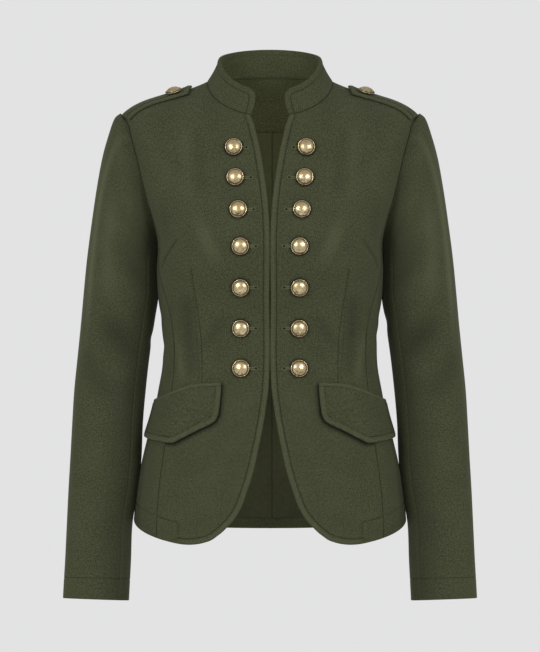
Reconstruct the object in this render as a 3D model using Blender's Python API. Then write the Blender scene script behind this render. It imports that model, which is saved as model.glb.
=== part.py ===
"""Fitted military-style blazer, hollow as if worn, open down the front.

Metres, +Z up, the front faces -Y. The origin is the middle of the neck, level with the inner ends
of the shoulder seams. The shell is cut and sewn from panels that share one torso surface.
"""

import math

import bmesh
import bpy
import numpy as np

MM = 0.001
CLOTH = 2.0 * MM
COLLAR_CLOTH = 2.4 * MM
FLAP_CLOTH = 2.6 * MM
WELT_CLOTH = 1.8 * MM
STRAP_CLOTH = 2.4 * MM
FACING_CLOTH = 1.2 * MM
LINING_CLOTH = 0.9 * MM
SEAM_GAP = 0.3 * MM
ARMHOLE_GAP = 0.6 * MM
BUTTON_SEAT = 0.5 * MM

HEM = -554 * MM
UNDERARM = -205 * MM
ARMHOLE_FLOOR = -213 * MM
SHOULDER_POINT = -43 * MM
NECK = 0.0
SIDE = 0.5
CENTRE_BACK = 1.0


def table(columns, *rows):
    """Rows of millimetres as named arrays in metres. Columns named power or share stay plain ratios."""
    names = columns.split()
    values = np.array(rows, float).T
    return {
        name: column * (1.0 if name.endswith(("power", "share")) else MM)
        for name, column in zip(names, values)
    }


# One row for each ring of the torso. side is the ring's height at the side, front and back are its
# heights at the centre front and centre back, and the depths run from the side line. half_width is
# the ring's own at the side line, chest_width the one that its front and back curves aim at.
TORSO = table(
    "side half_width chest_width front_depth back_depth front back round_power fall_power",
    (-586, 175.5, 175.5, 130, 121, -620, -609, 2.3, 1.2),
    (-556, 172.8, 172.8, 128, 119, -586, -579, 2.3, 1.2),
    (-525, 170.3, 170.3, 126, 117, -551, -543, 2.3, 1.25),
    (-490, 165.0, 165.0, 122, 113, -510, -504, 2.3, 1.3),
    (-455, 156.8, 156.8, 117, 107, -469, -464, 2.3, 1.3),
    (-420, 147.4, 147.4, 111, 100, -429, -426, 2.3, 1.4),
    (-390, 141.5, 141.5, 106, 92, -396, -395, 2.3, 1.5),
    (-360, 136.4, 136.4, 103, 85, -363, -362, 2.3, 1.5),
    (-334, 135.6, 135.6, 102, 82, -335, -335, 2.3, 1.5),
    (-300, 138.6, 138.6, 105, 84, -301, -301, 2.3, 1.5),
    (-270, 142.2, 142.2, 112, 90, -271, -271, 2.3, 1.5),
    (-240, 143.6, 143.6, 121, 97, -242, -241, 2.3, 1.5),
    (-205, 142.8, 142.8, 127, 103, -210, -206, 2.3, 1.5),
    (-175, 151.0, 151.0, 126, 107, -186, -172, 2.3, 1.45),
    (-150, 160.0, 160.0, 121, 109, -167, -142, 2.3, 1.4),
    (-125, 168.0, 168.0, 115, 109, -149, -113, 2.25, 1.4),
    (-100, 175.0, 174.5, 108, 107, -131, -85, 2.2, 1.4),
    (-75, 180.0, 179.0, 101, 103, -114, -59, 2.2, 1.4),
    (-58, 183.5, 180.5, 97, 100, -103, -42, 2.2, 1.45),
    (-43, 185.0, 177.5, 93, 97, -93, -30, 2.2, 1.5),
    (-36, 177.0, 171.5, 91, 95, -89, -25, 2.2, 1.5),
    (-26, 157.0, 155.0, 87, 90, -80, -15, 2.15, 1.5),
    (-17.5, 130.0, 130.0, 81, 82, -70, -5, 2.1, 1.45),
    (-8, 100.0, 100.0, 74, 73, -59, 5, 2.05, 1.3),
    (0, 80.0, 80.0, 69, 65, -50, 14, 2.0, 1.05),
    (8, 70.0, 70.0, 66, 60, -44, 20, 2.0, 1.05),
)
SHOULDER_TURN = 0.05

# Depth of the armhole seam, and of the seams on either side of the side panel, at each ring.
ARMHOLE = table(
    "side front back",
    (-205, 20, 25),
    (-179, 37, 43),
    (-154, 43, 50),
    (-131, 44, 51),
    (-110, 42, 49),
    (-91, 39, 45),
    (-74, 34, 39),
    (-60, 27, 31),
    (-49, 17, 19),
    (-43, 0, 0),
)
SIDE_SEAMS = table(
    "side front back",
    (-586, 86, 79),
    (-556, 84, 77),
    (-455, 73, 64),
    (-390, 61, 52),
    (-340, 56, 46),
    (-300, 56, 45),
    (-265, 50, 40),
    (-235, 36, 33),
    (-205, 20, 25),
)

# Half the opening between the two fronts, by height: the neckline, the closed run, the cutaway.
FRONT_EDGE = table(
    "height half_gap",
    (-600, 118),
    (-580, 104),
    (-578.3, 96),
    (-576.6, 88),
    (-573.5, 77),
    (-565.8, 64),
    (-555.6, 52.5),
    (-543, 42),
    (-508, 26.7),
    (-454, 12.8),
    (-407, 4.4),
    (-388, 1.9),
    (-367, 0.7),
    (-275, 0.7),
    (-184, 0.8),
    (-157, 2.6),
    (-125, 6.8),
    (-92, 12.4),
    (-75, 16.1),
    (-58, 20.3),
    (-49, 23.4),
    (-40, 25.0),
)

# The rounding of each front's lowest point, where the cutaway meets the hem.
CORNER = {"x": 99.3 * MM, "z": -579 * MM, "reach": 16 * MM, "slope": 0.165, "height": 12 * MM}

COLLAR_TOP = {
    "half_width": 64 * MM,
    "front_depth": 59 * MM,
    "back_depth": 57 * MM,
    "side": 31 * MM,
    "front": -17 * MM,
    "back": 47.5 * MM,
    "fall_power": 1.05,
    "belly": 1.5 * MM,
}
# How far the collar's front end stands from the centre plane, from its seam (0) to its top (1).
COLLAR_END = {
    "rise": np.array([0.0, 0.3, 0.6, 0.8, 0.93, 1.0]),
    "half_gap": np.array([23.6, 20.6, 18.8, 18.9, 21.0, 25.5]) * MM,
}

# One row for each ring of the sleeve, from the cap to the cuff: its outer and inner ends in the
# front view, the middle of its depth and half its depth.
SLEEVE = table(
    "outer_x outer_z inner_x inner_z middle_y half_depth tilt",
    (190.0, -40, 145.4, -215.5, 3, 48.5, 0),
    (197.0, -46, 146.4, -218, 3, 52, 0),
    (203.8, -64, 146.6, -221, 3, 54.5, 0),
    (212.8, -96, 146.6, -225, 4, 57, 0),
    (220.5, -138, 146.2, -230, 5, 59, 0),
    (227.5, -186, 145.8, -238, 6, 60, 0),
    (232.8, -227, 145.4, -251, 7, 59.5, 0),
    (236.8, -267, 144.0, -270, 8, 57.5, 0),
    (240.6, -307, 147.6, -306, 10, 54, 0),
    (244.8, -349, 153.4, -348, 9, 50.5, 0),
    (248.8, -391, 158.0, -390, 6, 48, 0.5),
    (251.0, -433, 161.4, -432, 1, 46, 1),
    (252.8, -475, 165.4, -475, -5, 44, 2),
    (254.6, -515, 170.2, -515, -12, 42, 3),
    (256.0, -557, 173.8, -558, -20, 40, 4),
    (257.4, -602, 174.8, -604, -29, 38.2, 4),
    (258.6, -630, 175.9, -632, -35, 37.4, 4),
    (259.4, -651, 176.8, -654, -39, 37, 4),
)
SLEEVE_ROUND = 2.25
SLEEVE_TURN = 1.3 * MM
SLEEVE_SETTLE = 5
UNDERARM_REACH = 3.2
LOOP_POINTS = 24
FRONT_LOOP = 9
BACK_LOOP = 15
ARMHOLE_CROWDING = 1.5
# Loop positions of the two sleeve seams, at the cap and at the cuff.
SLEEVE_SEAM_FRONT = 9
SLEEVE_SEAM_BACK = 17

# Soft creases, as lines across the sleeve: the loop position and height of each end, half the
# width of the crease and its depth.
SLEEVE_CREASES = (
    {"from": (3.5, -300), "to": (8.0, -352), "half_width": 17, "depth": 3.2},
    {"from": (4.5, -338), "to": (8.5, -318), "half_width": 14, "depth": 2.2},
    {"from": (15.0, -300), "to": (20.0, -338), "half_width": 17, "depth": 3.0},
    {"from": (5.0, -212), "to": (9.0, -246), "half_width": 15, "depth": 2.2},
    {"from": (16.0, -246), "to": (20.0, -205), "half_width": 18, "depth": 2.6},
)

# Distance between neighbouring loop positions on a sleeve, and how sharply a crease runs out.
LOOP_STEP = 12 * MM
CREASE_END = 2.2

BUST = {"x": 74 * MM, "z": -205 * MM, "reach": 52 * MM, "fullness": 9 * MM}

BUTTONS = table(
    "height from_centre",
    (-90, 44.6),
    (-128, 42.4),
    (-168, 38.6),
    (-213, 35.9),
    (-263, 35.8),
    (-313, 35.7),
    (-362, 35.6),
)
BUTTON_RADIUS = 10.4 * MM
STRAP_BUTTON_RADIUS = 10.5 * MM
# Turned outline of a button as shares of its radius: out from the axis, up from the cloth.
BUTTON_OUTLINE = (
    (0.27, 0.0),
    (0.27, 0.12),
    (1.0, 0.15),
    (1.0, 0.25),
    (0.84, 0.29),
    (0.58, 0.48),
)
BUTTON_CROWN = 0.60
# How much of the cloth's backward slope a button on its shank gives up to face straight ahead.
BUTTON_DROOP = 0.62
BUTTON_SIDES = 12

# Pocket flap, one row for each column of points: how far round it lies from the front end (0) to
# the side end (1), and the heights of its top and bottom there.
FLAP = table(
    "round_share top bottom",
    (0.0, -384.3, -419),
    (0.025, -384.4, -427),
    (0.07, -384.6, -431.5),
    (0.17, -385.2, -438.5),
    (0.30, -387.5, -448),
    (0.405, -391.3, -455.3),
    (0.47, -393.8, -455.2),
    (0.62, -399.5, -453.6),
    (0.80, -404.5, -452),
    (0.96, -407.4, -450.6),
    (1.0, -408.0, -447.5),
)
FLAP_FRONT_X = 59.5 * MM
FLAP_SIDE_DEPTH = 12 * MM
FLAP_LIFT = (0.7 * MM, 2.4 * MM)
FLAP_FRONT_SLANT = 3.0 * MM
WELT_HEIGHT = 4.6 * MM
WELT_LIFT = 0.9 * MM

STRAP = {
    "from_x": 184.3 * MM,
    "tip_x": 98.0 * MM,
    "point": 9.0 * MM,
    "front_depth": 24.0 * MM,
    "back_depth": 15.0 * MM,
    "lift": 0.7 * MM,
    "tip_lift": 1.6 * MM,
    "button_x": 120.0 * MM,
    "button_share": -0.27,
    "taper": 0.12,
}

# The facing's ring heights, at its foot by the shoulder and at the centre back, and at its top.
FACING = {
    "from_u": 0.56,
    "shoulder": -16 * MM,
    "drop": -70 * MM,
    "top": -1.5 * MM,
    "under": 0.9 * MM,
}
LINING_HEM = 13 * MM
LINING_TOP = -72 * MM
LINING_UNDER = 0.8 * MM
LINING_PLEAT = {"fold_x": 2.5 * MM, "width": 24 * MM, "depth": 3.0 * MM}

OLIVE = (0.060, 0.066, 0.033, 1.0)
DARK_OLIVE = (0.035, 0.038, 0.018, 1.0)
BRASS = (0.62, 0.45, 0.22, 1.0)


def smooth(keys, values, at):
    """Cubic curve through a table's points, with slopes from their neighbours."""
    slopes = np.gradient(values, keys)
    at = np.asarray(at, float)
    i = np.clip(np.searchsorted(keys, at) - 1, 0, len(keys) - 2)
    width = keys[i + 1] - keys[i]
    t = np.clip((at - keys[i]) / width, 0.0, 1.0)
    return (
        (2 * t**3 - 3 * t**2 + 1) * values[i]
        + (t**3 - 2 * t**2 + t) * width * slopes[i]
        + (3 * t**2 - 2 * t**3) * values[i + 1]
        + (t**3 - t**2) * width * slopes[i + 1]
    )


def of_torso(name, side):
    return smooth(TORSO["side"], TORSO[name], side)


def signed_power(base, power):
    return np.sign(base) * np.abs(base) ** power


def torso(u, side):
    """The wearer's left half of the torso: u runs from centre front (0) past the side to the back (1)."""
    u, side = np.broadcast_arrays(np.asarray(u, float), np.asarray(side, float))
    turn = (u - SIDE) * math.pi
    power = 2.0 / of_torso("round_power", side)
    share = signed_power(np.sin(turn), power)
    to_front = share < 0
    at_side = np.exp(-(((u - SIDE) / SHOULDER_TURN) ** 2))
    chest_width = of_torso("chest_width", side)
    width = chest_width + (of_torso("half_width", side) - chest_width) * at_side
    x = width * signed_power(np.cos(turn), power)
    y = share * np.where(to_front, of_torso("front_depth", side), of_torso("back_depth", side))
    end = np.where(to_front, of_torso("front", side), of_torso("back", side))
    z = side + (end - side) * np.abs(share) ** of_torso("fall_power", side)
    swell = np.exp(-((np.abs(x) - BUST["x"]) ** 2 + (z - BUST["z"]) ** 2) / (2 * BUST["reach"] ** 2))
    y = y - np.where(to_front, BUST["fullness"] * swell * np.minimum(1.0, 2.5 * np.abs(share)), 0.0)
    return np.stack([x, y, z], axis=-1)


def unit(vectors):
    return vectors / np.maximum(np.linalg.norm(vectors, axis=-1, keepdims=True), 1e-12)


def torso_normal(u, side):
    step_u, step_side = 2e-3, 1.0 * MM
    along = torso(np.add(u, step_u), side) - torso(np.subtract(u, step_u), side)
    up = torso(u, np.add(side, step_side)) - torso(u, np.subtract(side, step_side))
    return unit(np.cross(along, up))


def u_at_depth(side, depth, back=False):
    """Where a ring passes this far in front of, or behind, the side line."""
    reach = of_torso("back_depth" if back else "front_depth", side)
    share = np.clip(np.asarray(depth) / reach, 0.0, 1.0) ** (of_torso("round_power", side) / 2)
    turn = np.arcsin(share) / math.pi
    return SIDE + turn if back else SIDE - turn


def u_at_x(side, wanted):
    """Where a ring's front half is this far from the centre plane. wanted(z) gives the distance."""
    low = np.zeros_like(np.asarray(side, float))
    high = np.full_like(low, SIDE)
    for _ in range(40):
        middle = (low + high) / 2
        point = torso(middle, side)
        short = point[..., 0] < wanted(point[..., 2])
        low = np.where(short, middle, low)
        high = np.where(short, high, middle)
    return (low + high) / 2


def front_gap(z):
    return smooth(FRONT_EDGE["height"], FRONT_EDGE["half_gap"], z)


def armhole_side(k):
    """Ring heights down the armhole, closer together at the shoulder point, where it turns over."""
    share = (np.asarray(k) / FRONT_LOOP) ** ARMHOLE_CROWDING
    return SHOULDER_POINT + (UNDERARM - SHOULDER_POINT) * share


SHOULDER_ROWS = np.linspace(SHOULDER_POINT, NECK, 6)
ARMHOLE_ROWS = armhole_side(np.arange(FRONT_LOOP, 0, -1))
BODY_ROWS = np.array([-554, -532, -505, -478, -450, -422, -395, -368, -342, -316, -290, -262, -234]) * MM
CUTAWAY_ROWS = np.array([-553, -550.5, -545, -539, -523, -513, -491]) * MM


def side_panel_edge(side, back):
    """u of the seam on the front or the back of the side panel, and of the armhole above it."""
    name = "back" if back else "front"
    seam = smooth(SIDE_SEAMS["side"], SIDE_SEAMS[name], np.minimum(side, UNDERARM))
    hole = smooth(ARMHOLE["side"], ARMHOLE[name], np.clip(side, UNDERARM, SHOULDER_POINT))
    depth = np.where(side <= UNDERARM, seam, hole)
    depth = np.where(side >= SHOULDER_POINT, 0.0, depth)
    return u_at_depth(side, depth, back)


def armhole_floor(u):
    """Height of the armhole's lowest stretch, across the top of the side panel."""
    low, high = side_panel_edge(UNDERARM, False), side_panel_edge(UNDERARM, True)
    from_middle = 2 * (u - low) / (high - low) - 1
    return UNDERARM + (ARMHOLE_FLOOR - UNDERARM) * (1 - from_middle**2)


def armhole_loop(k):
    """(points, normals) round the armhole: 0 at the shoulder point, then front, underarm and back."""
    k = np.asarray(k, float) % LOOP_POINTS
    low, high = side_panel_edge(UNDERARM, False), side_panel_edge(UNDERARM, True)
    under = low + (high - low) * np.clip((k - FRONT_LOOP) / (BACK_LOOP - FRONT_LOOP), 0, 1)
    side = armhole_side(np.minimum(np.minimum(k, LOOP_POINTS - k), FRONT_LOOP))
    u = np.where(k < FRONT_LOOP, side_panel_edge(side, False), side_panel_edge(side, True))
    is_floor = (k >= FRONT_LOOP) & (k <= BACK_LOOP)
    u = np.where(is_floor, under, u)
    side = np.where(is_floor, armhole_floor(under), side)
    return torso(u, side), torso_normal(u, side)


def material(name, colour, roughness, metallic=0.0):
    made = bpy.data.materials.new(name)
    made.use_nodes = True
    shader = made.node_tree.nodes["Principled BSDF"]
    shader.inputs["Base Color"].default_value = colour
    shader.inputs["Roughness"].default_value = roughness
    shader.inputs["Metallic"].default_value = metallic
    return made


def add_object(name, points, faces, stuff):
    """A closed mesh as a scene object, with its faces turned out."""
    mesh = bpy.data.meshes.new(name)
    mesh.from_pydata([tuple(p) for p in points], [], faces)
    work = bmesh.new()
    work.from_mesh(mesh)
    bmesh.ops.recalc_face_normals(work, faces=work.faces)
    if work.calc_volume(signed=True) < 0:
        bmesh.ops.reverse_faces(work, faces=work.faces)
    work.to_mesh(mesh)
    work.free()
    mesh.shade_smooth()
    mesh.set_sharp_from_angle(angle=math.radians(50))
    mesh.materials.append(stuff)
    made = bpy.data.objects.new(name, mesh)
    bpy.context.scene.collection.objects.link(made)
    return made


def step_back(border, beside):
    """Half a seam gap from a border towards the line of points beside it, square to the border."""
    along = unit(np.gradient(border, axis=0))
    back = beside - border
    back = back - (back * along).sum(axis=-1, keepdims=True) * along
    return SEAM_GAP / 2 * unit(back)


def inset(points, sides):
    """Moves the named borders of a grid half a seam gap in from where the next piece's border is."""
    moved = points.copy()
    if "left" in sides:
        moved[:, 0] += step_back(points[:, 0], points[:, 1])
    if "right" in sides:
        moved[:, -1] += step_back(points[:, -1], points[:, -2])
    if "bottom" in sides:
        moved[0] += step_back(points[0], points[1])
    if "top" in sides:
        moved[-1] += step_back(points[-1], points[-2])
    return moved


def wall(name, outer, inner, stuff):
    """A wall between two grids of the same size, closed round its rim."""
    rows, columns = outer.shape[:2]
    count = rows * columns

    def at(row, column, layer):
        return layer * count + row * columns + column

    faces = []
    for layer in (0, 1):
        for r in range(rows - 1):
            for c in range(columns - 1):
                quad = [at(r, c, layer), at(r, c + 1, layer)]
                quad += [at(r + 1, c + 1, layer), at(r + 1, c, layer)]
                faces.append(quad if layer == 0 else quad[::-1])
    rim = [(0, c) for c in range(columns)]
    rim += [(r, columns - 1) for r in range(1, rows)]
    rim += [(rows - 1, c) for c in range(columns - 2, -1, -1)]
    rim += [(r, 0) for r in range(rows - 2, 0, -1)]
    for here, there in zip(rim, rim[1:] + rim[:1]):
        faces.append([at(*here, 0), at(*here, 1), at(*there, 1), at(*there, 0)])
    points = np.concatenate([outer.reshape(-1, 3), inner.reshape(-1, 3)])
    return add_object(name, points, faces, stuff)


def mirrored(points):
    return points * np.array([-1.0, 1.0, 1.0])


def both_sides(name, outer, inner, stuff):
    """The wearer's left piece and its mirror image on the right."""
    wall(name + "_left", outer, inner, stuff)
    wall(name + "_right", mirrored(outer), mirrored(inner), stuff)


def torso_wall(u, side, thickness, sides, lift=0.0):
    """(outer, inner) grids of a piece that follows the torso, its outer face lifted off it."""
    normal = torso_normal(u, side)
    outer = inset(torso(u, side) + normal * lift, sides)
    return outer, outer - normal * thickness


def across(low, high, count):
    """u for each row, in even steps from its own low end to its own high end."""
    share = np.linspace(0, 1, count + 1)
    return low[:, None] + (high - low)[:, None] * share


def rounded_corner(points):
    """Points of a front, lifted beside its lowest point so that the hem runs round it smoothly."""
    reach = CORNER["reach"]
    beside = np.clip(reach - np.abs(points[..., 0] - CORNER["x"]), 0, None)
    fade = np.exp(-(((points[..., 2] - CORNER["z"]) / CORNER["height"]) ** 2))
    moved = points.copy()
    moved[..., 2] += CORNER["slope"] / (2 * reach) * beside**2 * fade
    return moved


def front_panel(stuff):
    body_rows = np.sort(np.concatenate([BODY_ROWS, CUTAWAY_ROWS]))
    side = np.concatenate([body_rows, ARMHOLE_ROWS, SHOULDER_ROWS])
    u = across(u_at_x(side, front_gap), side_panel_edge(side, False), 10)
    grids = torso_wall(u, side[:, None] + 0 * u, CLOTH, ("right", "top"))
    both_sides("front", *(rounded_corner(grid) for grid in grids), stuff)


def back_panel(stuff):
    side = np.concatenate([BODY_ROWS, ARMHOLE_ROWS, SHOULDER_ROWS])
    u = across(side_panel_edge(side, True), np.full_like(side, CENTRE_BACK), 8)
    grids = torso_wall(u, side[:, None] + 0 * u, CLOTH, ("left", "right", "top"))
    both_sides("back", *grids, stuff)


def side_panel(stuff):
    low = side_panel_edge(np.append(BODY_ROWS, UNDERARM), False)
    high = side_panel_edge(np.append(BODY_ROWS, UNDERARM), True)
    u = across(low, high, BACK_LOOP - FRONT_LOOP)
    side = np.repeat(np.append(BODY_ROWS, UNDERARM)[:, None], u.shape[1], axis=1)
    side[-1] = armhole_floor(u[-1])
    side[-2] += (side[-1] - UNDERARM) * 0.4
    both_sides("side", *torso_wall(u, side, CLOTH, ("left", "right", "top")), stuff)


def collar_point(u, rise):
    """The stand collar between its seam on the neck ring (rise 0) and its top edge (rise 1)."""
    turn = (u - SIDE) * math.pi
    share = np.sin(turn)
    depth = np.where(share < 0, COLLAR_TOP["front_depth"], COLLAR_TOP["back_depth"])
    end = np.where(share < 0, COLLAR_TOP["front"], COLLAR_TOP["back"])
    top = np.stack(
        [
            COLLAR_TOP["half_width"] * np.cos(turn),
            share * depth,
            COLLAR_TOP["side"] + (end - COLLAR_TOP["side"]) * np.abs(share) ** COLLAR_TOP["fall_power"],
        ],
        axis=-1,
    )
    foot = torso(u, NECK)
    belly = np.sin(math.pi * rise)[..., None] * COLLAR_TOP["belly"]
    outward = unit(foot * np.array([1.0, 1.0, 0.0]))
    return foot + (top - foot) * rise[..., None] - outward * belly


def collar(stuff):
    rise, gap = COLLAR_END["rise"], COLLAR_END["half_gap"]
    low, high = np.zeros_like(rise), np.full_like(rise, SIDE)
    for _ in range(40):
        middle = (low + high) / 2
        short = collar_point(middle, rise)[..., 0] < gap
        low, high = np.where(short, middle, low), np.where(short, high, middle)
    u = across(low, np.full_like(rise, CENTRE_BACK), 15)
    lift = np.repeat(rise[:, None], u.shape[1], axis=1)
    step = 2e-3
    along = collar_point(u + step, lift) - collar_point(u - step, lift)
    up = collar_point(u, lift + step) - collar_point(u, lift - step)
    normal = unit(np.cross(along, up))
    outer = collar_point(u, lift)
    outer[0] += SEAM_GAP * unit(outer[1] - outer[0])
    inner = outer - normal * COLLAR_CLOTH
    halves = [np.concatenate([g, mirrored(g)[:, -2::-1]], axis=1) for g in (outer, inner)]
    wall("collar", *halves, stuff)


def crease_depth(loop_at, z):
    """How far the sleeve's soft creases sink its surface."""
    sunk = np.zeros(np.broadcast(loop_at, z).shape)
    for crease in SLEEVE_CREASES:
        start = np.array([crease["from"][0] * LOOP_STEP, crease["from"][1] * MM])
        end = np.array([crease["to"][0] * LOOP_STEP, crease["to"][1] * MM])
        line = end - start
        length = np.linalg.norm(line)
        offset_a = loop_at * LOOP_STEP - start[0]
        offset_z = z - start[1]
        along = (offset_a * line[0] + offset_z * line[1]) / length**2
        beside = (offset_a * line[1] - offset_z * line[0]) / length
        ends = np.exp(-((CREASE_END * (along - 0.5)) ** 4))
        across_it = np.exp(-((beside / (crease["half_width"] * MM)) ** 2))
        sunk = sunk + crease["depth"] * MM * ends * across_it
    return sunk


def sleeve_grids():
    """(outer, inner) rings of the whole sleeve, one row for each ring, from the armhole to the cuff."""
    k = np.arange(LOOP_POINTS)
    turn = 2 * math.pi * k / LOOP_POINTS
    power = 2.0 / SLEEVE_ROUND
    out_share = signed_power(np.cos(turn), power)
    front_share = signed_power(np.sin(turn), power)
    loop, loop_normal = armhole_loop(k)

    def ring(outer_x, outer_z, inner_x, inner_z, middle_y, half_depth, tilt=0.0):
        middle = np.array([(outer_x + inner_x) / 2, middle_y, (outer_z + inner_z) / 2])
        reach = np.array([(outer_x - inner_x) / 2, 0.0, (outer_z - inner_z) / 2])
        depth = np.array([0.0, -half_depth, tilt])
        return middle + out_share[:, None] * reach + front_share[:, None] * depth

    top, floor = loop[0], armhole_loop(LOOP_POINTS / 2)[0]
    near, far = loop[:, 1].min(), loop[:, 1].max()
    plain_hole = ring(top[0], top[2], floor[0], floor[2], (near + far) / 2, (far - near) / 2)
    tube = []
    for row, sizes in enumerate(zip(*SLEEVE.values())):
        keep = max(0.0, 1 - row / SLEEVE_SETTLE) ** 2
        tube.append(ring(*sizes) + keep * (loop - plain_hole))
    tube = np.array(tube)
    around = np.roll(tube, -1, axis=1) - np.roll(tube, 1, axis=1)
    down = np.gradient(tube, axis=0)
    normal = unit(np.cross(around, down))
    middle = tube.mean(axis=1, keepdims=True)
    if (normal * (tube - middle)).sum() < 0:
        normal = -normal
    tube = tube - normal * crease_depth(k[None, :], tube[..., 2])[..., None]
    run = unit(np.roll(loop, -1, axis=0) - np.roll(loop, 1, axis=0))
    into = unit(np.cross(loop_normal, run))
    away = unit(tube[0] - loop)
    seam = loop + into * ARMHOLE_GAP
    under = np.exp(-(((k - LOOP_POINTS / 2) / UNDERARM_REACH) ** 2))[:, None]
    upward = np.array([0.0, 0.0, 1.0])
    crest_normal = unit(unit(loop_normal + normal[0]) * (1 - under) - upward * under)
    crest = seam + away * SLEEVE_TURN + upward * SLEEVE_TURN * 0.4 * under
    outer = np.concatenate([seam[None], crest[None], tube])
    normals = np.concatenate([loop_normal[None], crest_normal[None], normal])
    return outer, outer - normals * CLOTH


def sleeve(stuff):
    outer, inner = sleeve_grids()
    front, back = SLEEVE_SEAM_FRONT, SLEEVE_SEAM_BACK
    under = np.arange(front, back + 1)
    top = np.arange(back, front + LOOP_POINTS + 1) % LOOP_POINTS
    for name, columns in (("sleeve_top", top), ("sleeve_under", under)):
        skin = inset(outer[:, columns], ("left", "right"))
        back_face = inner[:, columns] + (skin - outer[:, columns])
        both_sides(name, skin, back_face, stuff)


def ring_through(u, z):
    """Side height of the ring that passes height z at u."""
    side = np.array(z, float)
    for _ in range(12):
        side = side + (z - torso(u, side)[..., 2])
    return side


def flap_grid(z, slant=0.0):
    """(u, side) for the flap's columns at the heights z, a row of heights for each row of points."""
    share = FLAP["round_share"]
    side = z.copy()
    for _ in range(4):
        first = u_at_x(side, lambda height: FLAP_FRONT_X + slant)
        last = u_at_depth(side, FLAP_SIDE_DEPTH)
        u = first + (last - first) * share
        side = ring_through(u, z)
    return u, side


def flap(stuff):
    down = np.linspace(0, 1, 5)[:, None]
    z = FLAP["bottom"] + (FLAP["top"] - FLAP["bottom"]) * down
    u, side = flap_grid(z, FLAP_FRONT_SLANT * (1 - down) ** 1.5)
    lift = FLAP_LIFT[1] + (FLAP_LIFT[0] - FLAP_LIFT[1]) * down
    normal = torso_normal(u, side)
    inner = torso(u, side) + normal * lift[..., None]
    both_sides("pocket_flap", inner + normal * FLAP_CLOTH, inner, stuff)


def welt(stuff):
    up = np.array([SEAM_GAP, WELT_HEIGHT / 2, WELT_HEIGHT])[:, None]
    u, side = flap_grid(FLAP["top"] + up)
    normal = torso_normal(u, side)
    inner = torso(u, side) + normal * WELT_LIFT
    both_sides("pocket_welt", inner + normal * WELT_CLOTH, inner, stuff)


def shoulder_side(x):
    """The ring whose side point is this far from the centre plane, along the shoulder seam."""
    ridge = TORSO["side"] >= SHOULDER_POINT
    return np.interp(-x, -TORSO["half_width"][ridge], TORSO["side"][ridge])


def strap_point(along, beside):
    """(point, normal) on the torso under the strap: along it to the neck 0 to 1, across it -1 to 1."""
    end = STRAP["tip_x"] + STRAP["point"] * np.abs(beside)
    x = STRAP["from_x"] + (end - STRAP["from_x"]) * along
    side = shoulder_side(x)
    middle = (STRAP["back_depth"] - STRAP["front_depth"]) / 2
    reach = (STRAP["back_depth"] + STRAP["front_depth"]) / 2
    depth = middle + reach * beside * (1 - STRAP["taper"] * along**3)
    behind, before = (u_at_depth(side, np.abs(depth), back) for back in (True, False))
    u = np.where(depth > 0, behind, before)
    return torso(u, side), torso_normal(u, side)


def strap_lift(along):
    return STRAP["lift"] + (STRAP["tip_lift"] - STRAP["lift"]) * along**4


def strap(stuff):
    front, back = STRAP["front_depth"], STRAP["back_depth"]
    on_the_ridge = (front - back) / (front + back)
    along, beside = np.meshgrid(
        [0.0, 0.17, 0.34, 0.5, 0.66, 0.8, 0.91, 1.0],
        [-1, -0.66, -0.33, 0, on_the_ridge, 0.6, 1],
        indexing="ij",
    )
    point, normal = strap_point(along, beside)
    inner = point + normal * strap_lift(along)[..., None]
    both_sides("epaulette", inner + normal * STRAP_CLOTH, inner, stuff)


def facing(stuff):
    """Shaped facing inside the back neck, from shoulder seam to shoulder seam."""
    u = np.linspace(FACING["from_u"], CENTRE_BACK, 10)
    share = (u - u[0]) / (u[-1] - u[0])
    foot = FACING["shoulder"] + (FACING["drop"] - FACING["shoulder"]) * share**0.8
    down = np.linspace(0, 1, 5)[:, None]
    side = foot + (FACING["top"] - foot) * down
    half = torso_wall(u[None] + 0 * side, side, FACING_CLOTH, (), -CLOTH - FACING["under"])
    joined = [np.concatenate([g, mirrored(g)[:, -2::-1]], axis=1) for g in half]
    wall("back_facing", *joined, stuff)


def pleat(x):
    """Depth of the lining's centre-back pleat, which folds over towards the wearer's left."""
    along = (x - LINING_PLEAT["fold_x"]) / LINING_PLEAT["width"]
    return LINING_PLEAT["depth"] * np.where(along < 0, 0.0, np.clip(1 - along, 0, 1) ** 1.5)


def lining(stuff):
    """Back lining between the facing and the hem, pleated down its middle."""
    rows = np.concatenate([[HEM + LINING_HEM], BODY_ROWS[1:], ARMHOLE_ROWS[:4], [LINING_TOP]])
    start = side_panel_edge(rows, True)
    share = np.array([2 / 8, 4 / 8, 6 / 8, 7 / 8, 0.93, 0.975, 0.995])
    half_u = start[:, None] + (CENTRE_BACK - start)[:, None] * share
    side = np.repeat(rows[:, None], len(share), axis=1)
    left, normal = torso(half_u, side), torso_normal(half_u, side)
    skin = np.concatenate([left, mirrored(left)[:, ::-1]], axis=1)
    outward = np.concatenate([normal, mirrored(normal)[:, ::-1]], axis=1)
    outer = skin - outward * (CLOTH + LINING_UNDER + pleat(skin[..., 0]))[..., None]
    wall("back_lining", outer, outer - outward * LINING_CLOTH, stuff)


def button_stand(normal, radius, droop):
    """(axis, seat, rise) of a button: how far its foot and its plate stand off the sloping cloth."""
    axis = unit(normal * np.array([1.0, 1.0, 1.0 - droop]))
    tilt = np.linalg.norm(np.cross(axis, normal))
    (foot, _), _, (plate, plate_up) = BUTTON_OUTLINE[:3]
    seat = BUTTON_SEAT + foot * radius * tilt
    rise = (BUTTON_SEAT + plate * radius * tilt) / math.sqrt(1 - tilt**2) - plate_up * radius - seat
    return axis, seat, max(0.0, rise)


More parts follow.
